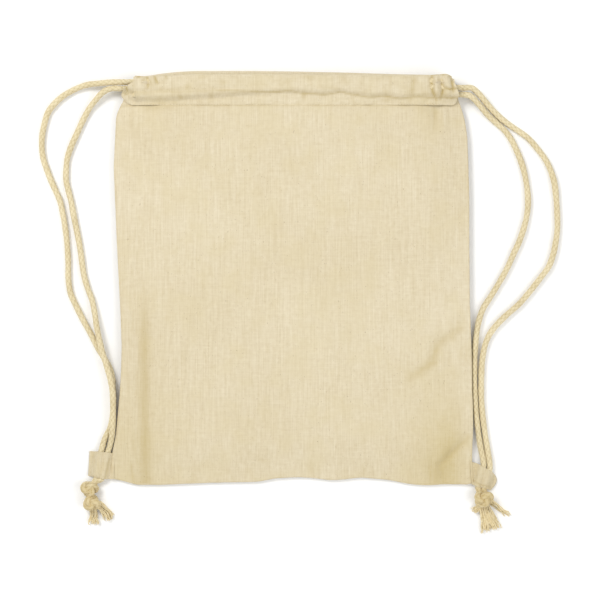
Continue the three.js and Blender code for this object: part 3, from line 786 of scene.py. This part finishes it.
def rolled_edge(name, path, seed):
    """A thin bead of cloth along a path, a little uneven."""
    sides = SEAM_SIDES
    tangents = np.gradient(path, axis=0)
    tangents /= np.linalg.norm(tangents, axis=1)[:, None]
    across = np.column_stack([-tangents[:, 1], tangents[:, 0], np.zeros(len(path))])
    points = []
    for i, point in enumerate(path):
        uneven = 1 + 0.18 * noise.noise(Vector(point * 160) + Vector((seed, 0, 0)))
        for j in range(sides):
            angle = 2 * math.pi * j / sides
            points.append(
                point
                + across[i] * math.cos(angle) * SEAM_RADIUS[0] * uneven
                + np.array([0, 0, 1]) * math.sin(angle) * SEAM_RADIUS[1] * uneven
            )
    faces = []
    for i in range(len(path) - 1):
        for j in range(sides):
            k = (j + 1) % sides
            faces.append((i * sides + j, i * sides + k, (i + 1) * sides + k, (i + 1) * sides + j))
    last = (len(path) - 1) * sides
    faces.append(tuple(range(sides))[::-1])
    faces.append(tuple(range(last, last + sides)))
    made = mesh_object(name, points, [f[::-1] for f in faces])
    add_tint(made, np.full(len(points), 0.08))
    made.data.materials.append(calico)
    return made


for side, sign in SIDES.items():
    y = np.arange(hem_y + 0.001, edge_y(sign * 0.18) - 0.0005, -0.0015)
    x = edge_x[side](y) - sign * 0.0004
    seam = rolled_edge(f"{side}_seam", np.column_stack([x, y, seam_height(y)]), sign * 3)
    gather(seam)
    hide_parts(f"{side}_side_seam")
x = np.arange(edge_x["left"](-0.199) + 0.0005, edge_x["right"](-0.202), 0.0015)
y = edge_y(x) + 0.0004
seam = rolled_edge("bottom_seam_edge", np.column_stack([x, y, seam_height(y)]), 8)
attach(seam, "bag")
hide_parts("bottom_seam")


# ---- Casings ------------------------------------------------------------------------------
# The top of each panel is folded down inside and stitched across, which leaves a channel for the
# cords. The cloth bulges over them and lies in small folds, bunched most at the right end.
CASING_CELL = 0.0016
CASING_REACH = 0.168
FLAT_ROWS = 20
FOLD_ROWS = 9
FOLD_DEPTH = 0.0042
STRETCH_START = 0.13
FRONT_UNDER = 0.0138
FRONT_BELOW_CORDS = 0.0152
FRONT_OVER_CORDS = 0.0206
STITCH_DENT = 0.0006
CORNER_DROOP = 0.0042
STITCH_Y = hem_y - 0.0004
NOTCH_START = 0.138
NOTCH_Y = hem_y + 0.0045

FRONT_FOLD = [
    (-0.171, 0.2), (-0.16, 0.2035), (-0.146, 0.204), (-0.12, 0.2045), (-0.1, 0.206), (-0.033, 0.206),
    (0.05, 0.2055), (0.107, 0.205), (0.13, 0.205), (0.145, 0.2055), (0.153, 0.2065), (0.16, 0.203),
    (0.165, 0.198),
]
REAR_FOLD = [
    (-0.171, 0.204), (-0.163, 0.2065), (-0.148, 0.2055), (-0.133, 0.208), (-0.115, 0.21), (-0.096, 0.2108),
    (-0.04, 0.2108), (0.007, 0.2102), (0.06, 0.209), (0.107, 0.2075), (0.137, 0.207), (0.153, 0.207),
    (0.161, 0.2034), (0.165, 0.199),
]
CORD_CREASE = [
    (-0.16, 0.1885), (-0.11, 0.1885), (-0.071, 0.19), (-0.04, 0.189), (-0.014, 0.1885), (-0.004, 0.1903),
    (0.007, 0.1875), (0.019, 0.187), (0.031, 0.186), (0.044, 0.1876), (0.046, 0.1898), (0.054, 0.187),
    (0.065, 0.1854), (0.077, 0.1832), (0.091, 0.185), (0.106, 0.1822), (0.124, 0.184), (0.137, 0.183),
]
# Folds at the ends of the casings, as the panel's are
CASING_FOLDS = [
    ([(0.1385, 0.206), (0.1375, 0.197), (0.139, 0.188), (0.143, 0.18)], 0.0017, -0.0024),
    ([(0.1425, 0.202), (0.143, 0.19), (0.145, 0.181)], 0.0026, 0.0022),
    ([(0.1475, 0.2), (0.149, 0.19), (0.147, 0.181)], 0.0014, -0.0026),
    ([(0.1525, 0.207), (0.153, 0.199), (0.1545, 0.184)], 0.0026, 0.002),
    ([(0.157, 0.2045), (0.158, 0.198), (0.1595, 0.188)], 0.0014, -0.0022),
    ([(0.141, 0.2045), (0.146, 0.2065), (0.151, 0.2045)], 0.0012, -0.0016),
    ([(0.149, 0.192), (0.156, 0.1905), (0.163, 0.1915)], 0.0013, -0.0018),
    ([(0.15, 0.184), (0.1555, 0.1815), (0.161, 0.183)], 0.0013, -0.0012),
    ([(-0.157, 0.206), (-0.154, 0.203), (-0.15, 0.2045)], 0.0018, -0.0016),
    ([(-0.163, 0.201), (-0.162, 0.192), (-0.165, 0.186)], 0.003, 0.0008),
    ([(-0.148, 0.203), (-0.149, 0.196)], 0.002, -0.0007),
    ([(-0.1685, 0.188), (-0.1635, 0.182), (-0.158, 0.178)], 0.0014, -0.0018),
    ([(-0.1705, 0.199), (-0.166, 0.193), (-0.164, 0.187)], 0.0013, -0.0015),
    ([(-0.146, 0.2045), (-0.1435, 0.198), (-0.1445, 0.192)], 0.0016, -0.0015),
    ([(-0.1385, 0.206), (-0.1365, 0.2), (-0.134, 0.196)], 0.0016, -0.0012),
    ([(-0.127, 0.206), (-0.1255, 0.201)], 0.0018, -0.001),
    ([(-0.1, 0.182), (-0.097, 0.2)], 0.004, 0.0006),
    ([(-0.082, 0.18), (-0.08, 0.19)], 0.003, -0.0006),
    ([(0.01, 0.18), (0.012, 0.19)], 0.003, -0.0005),
    ([(0.09, 0.182), (0.095, 0.2)], 0.004, 0.0006),
    ([(0.118, 0.182), (0.12, 0.203)], 0.003, -0.0007),
]
# Small dark marks: brown stains on the left half of the casing, and painted shade in the creases at its
# bunched right end. Place, size and strength
STAINS_AND_CREASE_SHADE = [
    (-0.1545, 0.2042, 0.0017, 0.9), (-0.151, 0.2025, 0.0012, 0.5), (-0.112, 0.183, 0.003, 0.45),
    (-0.132, 0.1765, 0.005, 0.3), (-0.118, 0.1775, 0.003, 0.3), (0.1385, 0.196, 0.0012, 0.7),
    (0.144, 0.1995, 0.0012, 0.5), (0.132, 0.1835, 0.004, 0.35), (0.155, 0.2035, 0.0015, 0.6),
]
front_fold = steady(FRONT_FOLD)
rear_fold = steady(REAR_FOLD)
cord_crease = steady(CORD_CREASE)


def end_reach(side, depth):
    """How far out a casing's end lies. Depth runs from 0 at the hem to 1 at the fold."""
    ragged = 0.0009 * waves(np.asarray(depth) * 5, np.zeros_like(depth), 1, 59 + SIDES[side])
    if side == "left":
        return 0.1585 + 0.0125 * np.sin(np.pi * np.clip(depth * 1.08 + 0.02, 0, 1)) ** 0.6 + ragged
    return 0.158 + 0.007 * np.sin(np.pi * np.clip(depth * 0.95 + 0.05, 0, 1)) ** 0.7 + ragged


def run_y(cord_side, x):
    """Where a cord lies in the front casing."""
    middle, turn, leave = MIDDLE_Y[cord_side], TURN_Y[cord_side], EXIT_Y[cord_side]
    own = x * SIDES[cord_side]
    near = middle + (leave - middle) * smooth(own, 0.1222, 0.1452)
    return np.where(own > 0, near, middle + (turn - middle) * smooth(-own, -0.01, 0.155))


def over_cord(distance, middle=FRONT_CORD_Z):
    """Height of cloth that lies over a cord, and slopes down beside it."""
    radius = CORD / 2 + CLOTH + 0.0004
    steep = radius * 0.8
    crown = np.sqrt(np.maximum(radius**2 - np.minimum(distance, steep) ** 2, 0))
    return middle + crown - np.maximum(distance - steep, 0) * 1.33


def droop(x, y):
    """How far the front casing's lower corners sink toward the side seams."""
    near_hem = 1 - smooth(y, hem_y + 0.001, hem_y + 0.009)
    return CORNER_DROOP * smooth(np.abs(x), 0.14, 0.166) * near_hem


def casing_top(x, y):
    """Height of the front casing's outer face over its cords, before it turns down at the fold."""
    crease = cord_crease(x)
    over_cords = FRONT_OVER_CORDS + 0.0008 * smooth(y, crease, crease + 0.009)
    below = FRONT_BELOW_CORDS + 0.0012 * smooth(y, STITCH_Y + 0.001, crease)
    z = below + (over_cords - below) * smooth(y, crease - 0.0018, crease + 0.0034)
    z -= STITCH_DENT * hump(y - STITCH_Y, 0.0012)
    z += 0.0007 * waves(x * 6, y * 0.6, 22, 13) * hump(np.maximum(y - STITCH_Y, 0), 0.007)
    ends = smooth(np.abs(x), 0.125, 0.15)
    z += 0.0005 * waves(x, y, 70, 17) + 0.0004 * waves(x, y * 1.6, 150, 19) * (1 + ends)
    z += 0.0007 * waves(x * 2.2, y * 0.8, 130, 53) * ends
    z = np.maximum(z, over_cord(np.abs(y - run_y("left", x))) - 0.0003)
    z = np.maximum(z, over_cord(np.abs(y - run_y("right", x))) * (x > -0.158) - 0.0003)
    return z + folded(x, y, CASING_FOLDS)[0] - droop(x, y)


def front_under(x, y):
    return FRONT_UNDER - droop(x, y)


def rear_top(x, y):
    return 0.0082 - 0.0054 * hump(np.maximum(y - hem_y, 0), 0.003) + 0.0003 * waves(x, y, 60, 23)


def rear_under(x, y):
    return 0.0003 + 0.0001 * (1 + waves(x, x, 60, 29))


def casing_section(side, top, under, fold_of, start_y):
    """Points round one casing half: along its underside, round the fold, and back along its top."""
    across = np.linspace(0, 1, round(CASING_REACH / CASING_CELL) + 1) * CASING_REACH
    flat = np.linspace(0, 1, FLAT_ROWS)
    turn = np.linspace(0, 1, FOLD_ROWS + 2)[1:-1]
    rows = []
    for part, steps in (("under", flat), ("fold", turn), ("top", flat[::-1])):
        for t in steps:
            reach = end_reach(side, np.full_like(across, 1.0 if part == "fold" else t))
            share = (reach - STRETCH_START) / (CASING_REACH - STRETCH_START)
            x = np.where(across > STRETCH_START, STRETCH_START + (across - STRETCH_START) * share, across)
            x = x * SIDES[side]
            fold_y = fold_of(x) - FOLD_DEPTH
            y = start_y + (fold_y - start_y) * t
            if part == "under":
                z = under(x, y)
            elif part == "top":
                z = top(x, y)
            else:
                height_under = under(x, y)
                half = (top(x, fold_of(x) - 0.004) - height_under) / 2
                angle = -math.pi / 2 + math.pi * t
                y = fold_y + FOLD_DEPTH * math.cos(angle)
                z = height_under + half + half * math.sin(angle)
            rows.append(np.column_stack([x, y, z]))
    return np.stack(rows)


def beside_cords(grid):
    """Which faces of a casing lie at its end, above the hem, where the cords come out."""
    middle = (grid[:-1, :-1] + grid[1:, 1:]) / 2
    return (np.abs(middle[:, :, 0]) > NOTCH_START) & (middle[:, :, 1] > NOTCH_Y)


for side in SIDES:
    grid = casing_section(side, casing_top, front_under, front_fold, hem_y - 0.0006)
    row_number = np.arange(len(grid) - 1)[:, None]
    opening = beside_cords(grid) & (row_number < FLAT_ROWS - 1)
    x, y, z = np.moveaxis(grid, 2, 0)
    # Painted shade on the casing's top: a line under the cords' bulge, in the folds' hollows and along the
    # stitch line. Random mottling and the listed marks are added to it
    shade = 0.5 * hump(y - cord_crease(x) + 0.0006, 0.0009) * (0.35 + 0.65 * smooth(x, -0.1, -0.06))
    shade = np.maximum(shade, 0.95 * folded(x, y, CASING_FOLDS)[1])
    shade = np.maximum(shade, 0.3 * hump(y - STITCH_Y, 0.0008))
    shade += 0.3 * np.clip(waves(x, y * 2, 90, 37), 0, 1)
    for mark_x, mark_y, size, strength in STAINS_AND_CREASE_SHADE:
        shade = np.maximum(shade, strength * hump(np.hypot(x - mark_x, y - mark_y), size))
    shade = np.where(z > 0.0145, shade, 0)
    casing = cloth_sheet(f"front_casing_{side}", grid, grid - grid.mean(axis=0), tint=shade, keep=~opening)
    gather(casing)
    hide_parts("front_casing")
    grid = casing_section(side, rear_top, rear_under, rear_fold, hem_y - 0.0002)
    opening = beside_cords(grid) & (row_number > len(row_number) - FLAT_ROWS)
    casing = cloth_sheet(f"rear_casing_{side}", grid, grid - grid.mean(axis=0), keep=~opening)
    gather(casing)
    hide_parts("rear_casing")


# ---- Stitching ----------------------------------------------------------------------------
# Lockstitch in cotton thread holds each casing down along its hem, and a zigzag bar tack closes
# each casing's end beside the cords. Every stitch is a short length of thread, sunk at both ends.
STITCH_PITCH = 0.0029
STITCH_LENGTH = 0.0022
THREAD_RADIUS = 0.00019
TACK_PITCH = 0.0007
TACK_LENGTH = 0.0009
TACK_STITCHES = 17

thread, tree = new_material("sewing_thread")
place = tree.node("ShaderNodeTexCoord", output="Object")
twist = tree.noise(tree.stretched(place, (2600, 2600, 2600)), detail=1)
colour = tree.mix(twist, (0.72, 0.62, 0.43, 1), (0.86, 0.78, 0.6, 1))
finish_material(tree, colour, 0.8, sheen=0.1)


class Geometry(Tree):
    """A geometry node tree with named inputs, which makes the object that it is added to."""

    def __init__(self, name, inputs):
        group = bpy.data.node_groups.new(name, "GeometryNodeTree")
        super().__init__(group)
        group.interface.new_socket("Geometry", in_out="INPUT", socket_type="NodeSocketGeometry")
        group.interface.new_socket("Geometry", in_out="OUTPUT", socket_type="NodeSocketGeometry")
        self.sockets = {}
        for label, kind in inputs.items():
            self.sockets[label] = group.interface.new_socket(label, in_out="INPUT", socket_type=kind)
        self.start = group.nodes.new("NodeGroupInput")

    def value(self, label):
        return Value(self, self.start.outputs[label])

    def end(self, geometry, material):
        realized = self.node("GeometryNodeRealizeInstances", {}, {0: geometry})
        painted = self.node("GeometryNodeSetMaterial", {}, {0: realized, "Material": material})
        self.node("NodeGroupOutput", {}, {0: painted})

    def apply(self, obj, values):
        """Runs the tree on an object and keeps the result as a plain mesh."""
        modifier = obj.modifiers.new("shape", "NODES")
        modifier.node_group = self.nodes
        for label, value in values.items():
            modifier[self.sockets[label].identifier] = value
        graph = bpy.context.evaluated_depsgraph_get()
        result = bpy.data.meshes.new_from_object(obj.evaluated_get(graph))
        obj.modifiers.remove(modifier)
        obj.data = result
        result.polygons.foreach_set("use_smooth", [True] * len(result.polygons))


row = Geometry("stitch_row", dict.fromkeys(("Pitch", "Length", "Radius"), "NodeSocketFloat"))
line = row.node("GeometryNodeMeshToCurve", {}, {0: row.value("Geometry")})
sockets = {"Curve": line, "Length": row.value("Pitch")}
spots = row.node("GeometryNodeResampleCurve", {"mode": "LENGTH"}, sockets)
tangent = row.node("GeometryNodeInputTangent")
sizes = {"Vertices": 6, "Side Segments": 4, "Radius": row.value("Radius"), "Depth": row.value("Length")}
stitch = row.node("GeometryNodeMeshCylinder", {}, sizes)
turned = row.node("FunctionNodeAlignRotationToVector", {"axis": "Z"}, {"Vector": tangent})
sockets = {"Points": spots, "Instance": stitch, "Rotation": turned}
row.end(row.node("GeometryNodeInstanceOnPoints", {}, sockets), thread)


def sewn_row(name, points, pitch=STITCH_PITCH, length=STITCH_LENGTH):
    """Stitches along a line of points."""
    mesh = bpy.data.meshes.new(name)
    steps = [(i, i + 1) for i in range(len(points) - 1)]
    mesh.from_pydata([tuple(map(float, p)) for p in points], steps, [])
    made = bpy.data.objects.new(name, mesh)
    bpy.context.scene.collection.objects.link(made)
    row.apply(made, {"Pitch": pitch, "Length": length, "Radius": THREAD_RADIUS})
    return made


def bar_tack(name, side, node, swing, height_at):
    """A zigzag over the place of a CAD tack, at the height that its cloth has there."""
    low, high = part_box(node)
    zigzag = []
    for i in range(TACK_STITCHES):
        x = low.x + 0.0005 + (high.x - low.x - 0.001) * i / (TACK_STITCHES - 1)
        y = (low.y + high.y) / 2 + (swing if i % 2 else -swing)
        zigzag.append((x, y, height_at(x, y)))
    tack = sewn_row(name, zigzag, pitch=TACK_PITCH, length=TACK_LENGTH)
    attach(tack, f"{side}_mouth")
    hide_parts(node)


def on_casing(x, y):
    return float(casing_top(np.array([x]), np.array([y]))[0]) + 0.0001


for side, sign in SIDES.items():
    x = np.arange(0.0008, end_reach(side, 0.02) - 0.001, 0.001) * sign
    y = np.full_like(x, STITCH_Y) + 0.0003 * waves(x, x, 18, 31)
    z = casing_top(x, y) + 0.00005
    hem = sewn_row(f"front_hem_stitches_{side}", np.column_stack([x, y, z]))
    gather(hem)
    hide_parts("front_hem_thread")
    under = sewn_row(f"rear_hem_stitches_{side}", np.column_stack([x, y + 0.0005, np.full_like(x, 0.0004)]))
    gather(under)
    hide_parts("rear_hem_thread")
    bar_tack(f"{side}_tack", side, f"{side}_front_tack", 0.00125, on_casing)
    low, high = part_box(f"{side}_rear_tack")
    inner_z = (low.z + high.z) / 2
    bar_tack(f"{side}_inner_tack", side, f"{side}_rear_tack", 0.0007, lambda x, y: inner_z)


# ---- Tabs ---------------------------------------------------------------------------------
# A short strip of calico folded in half round the two strands, its raw edges caught in the bag's
# seam at the bottom corner. It is soft, and lies flat except over the cords.
TAB_ROWS = 26
TAB_COLUMNS = 36
TAB_BEND = 0.006
TAB_MIDDLE_Z = 0.0018
TAB_UNDER_Z = 0.0004
TAB_CORD_Z = 0.0042
# Corners of each strip, at the bag's edge and at its outer fold, above and below, and its fold's bulge
TAB_CORNERS = {
    "left": ((-0.1785, -0.1735), (-0.2045, -0.17), (-0.18, -0.1985), (-0.206, -0.1965), 0.0),
    "right": ((0.1775, -0.1815), (0.198, -0.1885), (0.1795, -0.2035), (0.1985, -0.211), 0.0065),
}
TAB_CREASE = {
    "left": [(-0.184, -0.178), (-0.1885, -0.199)],
    "right": [(0.1815, -0.2005), (0.188, -0.2045), (0.197, -0.2065)],
}
TAB_HINGE = {"left": (-0.178, -0.1845), "right": (0.1775, -0.19)}

for side, sign in SIDES.items():
    corners = [np.array(corner) for corner in TAB_CORNERS[side][:4]]
    bulge = TAB_CORNERS[side][4]
    runs = [strand_facts[f"{side}_{place_name}"][1] for place_name in ("outer", "inner")]
    runs = [run[run[:, 1] < corners[0][1] + 0.012][::4, :2] for run in runs]
    across, down = np.meshgrid(np.linspace(0, 1, TAB_COLUMNS), np.linspace(0, 1, TAB_ROWS))
    high = corners[0] + (corners[1] - corners[0]) * across[:, :, None]
    low = corners[2] + (corners[3] - corners[2]) * across[:, :, None]
    place = high + (low - high) * down[:, :, None]
    x = place[:, :, 0] + sign * bulge * np.sin(np.pi * down) * across**2
    y = place[:, :, 1] + 0.0008 * np.sin(across * 5) * (1 - 2 * down)
    nearest = np.min([near_line(x, y, run)[0] for run in runs], axis=0)
    base = 0.0054 - 0.0032 * smooth(across, 0.0, 0.25)
    slack = 0.0006 * waves(x, y, 90, 41) + 0.0005 * waves(x * 3, y, 60, 43)
    top_z = np.maximum(base, over_cord(nearest, TAB_CORD_Z)) + slack * smooth(across, 0, 0.1)
    crease, _ = near_line(x, y, TAB_CREASE[side])
    top_z -= 0.0009 * hump(crease, 0.0011)
    rounding = np.sqrt(np.clip(1 - across**10, 0, 1))
    top_z = TAB_MIDDLE_Z + (top_z - TAB_MIDDLE_Z) * rounding
    under_z = TAB_MIDDLE_Z - (TAB_MIDDLE_Z - TAB_UNDER_Z) * rounding
    under_z += 0.0016 * (1 - smooth(across, 0.0, 0.2))
    over = np.dstack([x, y, top_z])
    beneath = np.dstack([x, y, under_z])[:, ::-1]
    grid = np.concatenate([over, beneath[:, 1:]], axis=1)
    outward = np.zeros_like(grid)
    outward[:, : over.shape[1], 2] = 1
    outward[:, over.shape[1] :, 2] = -1
    shade = np.concatenate([0.05 + 0.4 * hump(crease, 0.0009), 0 * across[:, 1:]], axis=1)
    tab = cloth_sheet(f"{side}_tab_strip", grid, outward, tint=shade)
    inner = (*TAB_HINGE[side], 0.004)
    outer = (inner[0] + sign * TAB_BEND, inner[1], inner[2])
    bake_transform(tab)
    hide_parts(f"{side}_tab")
    rows = [int(t * (TAB_ROWS - 1)) for t in np.linspace(0.06, 0.94, 24)]
    line = [over[i, 6] + np.array([0, 0, 0.0001]) for i in rows]
    seam = sewn_row(f"{side}_tab_seam", line, pitch=0.0026, length=0.0018)
    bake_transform(seam)
    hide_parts(f"{side}_tab_stitch")


# ---- Knots --------------------------------------------------------------------------------
# Below its tab each cord's two ends are tied together in tight overhand knots, two on the left
# and one on the right, which the tab can't pass over.
KNOT_CORD = 0.0032
KNOT_STEP = 0.0006
KNOT_MIDDLE_Z = 0.0079
KNOT_WEAVE = 0.0042
KNOT_POINTS = 60
# Each lobe: its middle from the tab's lower mouth, its half sizes, and how it is turned
LOBES = {
    "left": [(-0.0074, -0.0114, 0.0098, 0.0084, 0.3), (-0.0054, -0.0256, 0.0096, 0.0086, -0.5)],
    "right": [(0.0, -0.0104, 0.0106, 0.0092, 0.2)],
}


def knot_path(x, y, wide, deep, turn):
    """A tight overhand knot: a trefoil, flattened on the floor."""
    points = []
    for i in range(KNOT_POINTS):
        t = 2 * math.pi * i / KNOT_POINTS
        radius = 0.6 + 0.4 * math.cos(3 * t)
        u = radius * math.cos(2 * t + turn) * (wide - KNOT_CORD)
        v = radius * math.sin(2 * t + turn) * (deep - KNOT_CORD)
        points.append((x + u, y + v, KNOT_MIDDLE_Z + math.sin(3 * t) * KNOT_WEAVE))
    return points


def joined(name, objs):
    """One object from several, which are removed."""
    vertices, faces, relief = [], [], []
    for obj in objs:
        shift = len(vertices)
        vertices.extend(tuple(v.co) for v in obj.data.vertices)
        faces.extend(tuple(i + shift for i in p.vertices) for p in obj.data.polygons)
        # Lower relief paints less light on the knots' braid crowns
        relief.extend(0.72 * a.value for a in obj.data.attributes["relief"].data)
        bpy.data.objects.remove(obj)
    made = mesh_object(name, vertices, faces)
    made.data.attributes.new("relief", "FLOAT", "POINT").data.foreach_set("value", relief)
    made.data.materials.append(cotton)
    return made


mouths = {}
knots = {}
for side, sign in SIDES.items():
    mouth_x, mouth_y, _ = tab_point(side, 0, -TAB_LENGTH[side] / 2)
    mouths[side] = (mouth_x, mouth_y)
    pieces = []
    lobes = LOBES[side]
    for i, (x, y, wide, deep, turn) in enumerate(lobes):
        route = knot_path(mouth_x + x, mouth_y + y, wide, deep, turn)
        path = smooth_path(route, KNOT_STEP, closed=True)[:-1]
        pieces.append(braided_tube(f"coil_{side}_{i}", path, radius=KNOT_CORD, closed=True, slack=0.3))
    for shift in (-0.0031, 0.0031):
        below = -TAB_LENGTH[side] / 2 - 0.0004
        start = tab_point(side, sign * (shift - TAB_CORD_SHIFT), below)
        end = (mouth_x + lobes[0][0] + shift * 0.7, mouth_y + lobes[0][1] + 0.003, 0.0062)
        halfway = ((start[0] + end[0]) / 2, (start[1] + end[1]) / 2, 0.0048)
        path = smooth_path([start, halfway, end], KNOT_STEP)
        pieces.append(braided_tube(f"neck_{side}_{shift}", path, slack=0.1))
    knot = joined(f"{side}_overhand_knot", pieces)
    neck_top = (mouth_x, mouth_y - 0.001, 0.0042)
    neck_end = (mouth_x + lobes[0][0] * 0.5, mouth_y + lobes[0][1] * 0.75, 0.0042)
    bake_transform(knot)
    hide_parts(f"{side}_knot")
    knots[side] = knot


# ---- Frayed ends --------------------------------------------------------------------------
# Past the knots the braid comes undone into its yarns, which spread and curl: two short brushes on
# the left, and a tassel, a stub and a thin wisp on the right.
YARN_RADIUS = 0.00052
YARN_ROOT = 0.003
YARN_LOW = 0.0006
YARN_DEPTH = 0.0052
YARN_WOBBLE = 0.0019
YARN_LIFT = 0.0005
# Each end: start and end from the tab's lower mouth, how many yarns, how wide they start and end
FRAYS = {
    "left": [
        (-0.0046, -0.0322, -0.0036, -0.0476, 34, 0.0034, 0.0046),
        (0.0019, -0.0279, 0.014, -0.042, 34, 0.0034, 0.0048),
    ],
    "right": [
        (0.0012, -0.0176, 0.009, -0.043, 84, 0.0042, 0.0095),
        (-0.0036, -0.0164, -0.008, -0.0246, 22, 0.0026, 0.003),
        (0.0076, -0.0136, 0.0268, -0.0285, 12, 0.0022, 0.0034),
    ],
}

yarn_material, tree = new_material("loose_yarn")
place = tree.node("ShaderNodeTexCoord", output="Object")
strand_tone = tree.noise(place, scale=520, detail=2)
colour = tree.mix(strand_tone, (0.6, 0.46, 0.2, 1), (0.95, 0.85, 0.6, 1))
finish_material(tree, colour, 0.92, sheen=0.15)

inputs = dict.fromkeys(("Length", "Narrow", "Wide", "Thickness"), "NodeSocketFloat")
inputs.update(dict.fromkeys(("Yarns", "Seed"), "NodeSocketInt"))
fan = Geometry("frayed_yarns", inputs)
roots = fan.node("GeometryNodeMeshLine", {}, {"Count": fan.value("Yarns"), "Offset": (0, 0, 0)})
upright = fan.node("GeometryNodeCurvePrimitiveLine", {}, {"Start": (0, 0, 0), "End": (0, 1, 0)})
yarn = fan.node("GeometryNodeResampleCurve", {}, {"Curve": upright, "Count": 12})


def random_between(low, high, salt):
    sockets = {2: low, 3: high, "ID": fan.node("GeometryNodeInputIndex"), "Seed": fan.value("Seed") + salt}
    return fan.node("FunctionNodeRandomValue", {"data_type": "FLOAT"}, sockets, output=1)


def stored(geometry, value, label):
    settings = {"data_type": "FLOAT", "domain": "INSTANCE"}
    sockets = {"Geometry": geometry, "Name": label, "Value": value}
    return fan.node("GeometryNodeStoreNamedAttribute", settings, sockets)


def read(label):
    return fan.node("GeometryNodeInputNamedAttribute", {"data_type": "FLOAT"}, {"Name": label})


yarns = fan.node("GeometryNodeInstanceOnPoints", {}, {"Points": roots, "Instance": yarn})
ranges = {"across": (-1, 1), "depth": (0, 1), "share": (0.72, 1), "phase": (0, 40)}
for salt, (label, (low, high)) in enumerate(ranges.items(), start=1):
    yarns = stored(yarns, random_between(low, high, salt), label)
yarns = fan.node("GeometryNodeRealizeInstances", {}, {0: yarns})
factor = fan.node("GeometryNodeSplineParameter")
reach = factor * read("share")
spread = fan.value("Narrow") + (fan.value("Wide") - fan.value("Narrow")) * reach
wobble = (reach * 7 + read("phase")).sine() * reach * YARN_WOBBLE
lift = (reach * 7 + read("phase") * 3).sine() * reach * YARN_LIFT
sockets = {
    0: read("across") * spread + wobble,
    1: reach * fan.value("Length"),
    2: YARN_LOW + read("depth") * (YARN_DEPTH - reach * 0.0022) + lift,
}
placed = fan.node("ShaderNodeCombineXYZ", {}, sockets)
yarns = fan.node("GeometryNodeSetPosition", {}, {0: yarns, "Position": placed})
sockets = {"Resolution": 6, "Radius": fan.value("Thickness")}
outline = fan.node("GeometryNodeCurvePrimitiveCircle", {}, sockets)
tubes = fan.node("GeometryNodeCurveToMesh", {}, {0: yarns, 1: outline, "Fill Caps": True})
fan.end(tubes, yarn_material)

frays = {}
for side in SIDES:
    mouth_x, mouth_y = mouths[side]
    frays[side] = []
    for i, (x0, y0, x1, y1, count, narrow, wide) in enumerate(FRAYS[side]):
        name = f"{side}_fray_{i + 1}"
        end = mesh_object(name, [(0, 0, 0)], [])
        length = math.hypot(x1 - x0, y1 - y0) + YARN_ROOT
        sizes = {"Yarns": count, "Length": length, "Narrow": narrow, "Wide": wide}
        fan.apply(end, {**sizes, "Thickness": YARN_RADIUS, "Seed": 3 + i})
        angle = math.atan2(y1 - y0, x1 - x0) - math.pi / 2
        back = YARN_ROOT / length
        start_x, start_y = mouth_x + x0 - (x1 - x0) * back, mouth_y + y0 - (y1 - y0) * back
        for vertex in end.data.vertices:
            x, y, z = vertex.co
            vertex.co = (
                start_x + x * math.cos(angle) - y * math.sin(angle),
                start_y + x * math.sin(angle) + y * math.cos(angle),
                max(z, 0.0003),
            )
        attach(end, f"{side}_cord_end")
        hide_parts(f"{side}_frayed_end_{i + 1}")
        frays[side].append(end)


for name, (strand, path, exit_point) in strand_facts.items():
    side, place_name = name.split("_")
    ends = [knots[side], *frays[side]] if place_name == "outer" else []


# ---- Size ---------------------------------------------------------------------------------
# The bag has to keep the size of its CAD model, but for a little that cloth may stand proud. The
# boxes of the CAD model and of the new scene are gathered in one table.
new_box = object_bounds()
sizes = {"cad": [list(corner) for corner in cad_box], "new": [list(corner) for corner in new_box]}
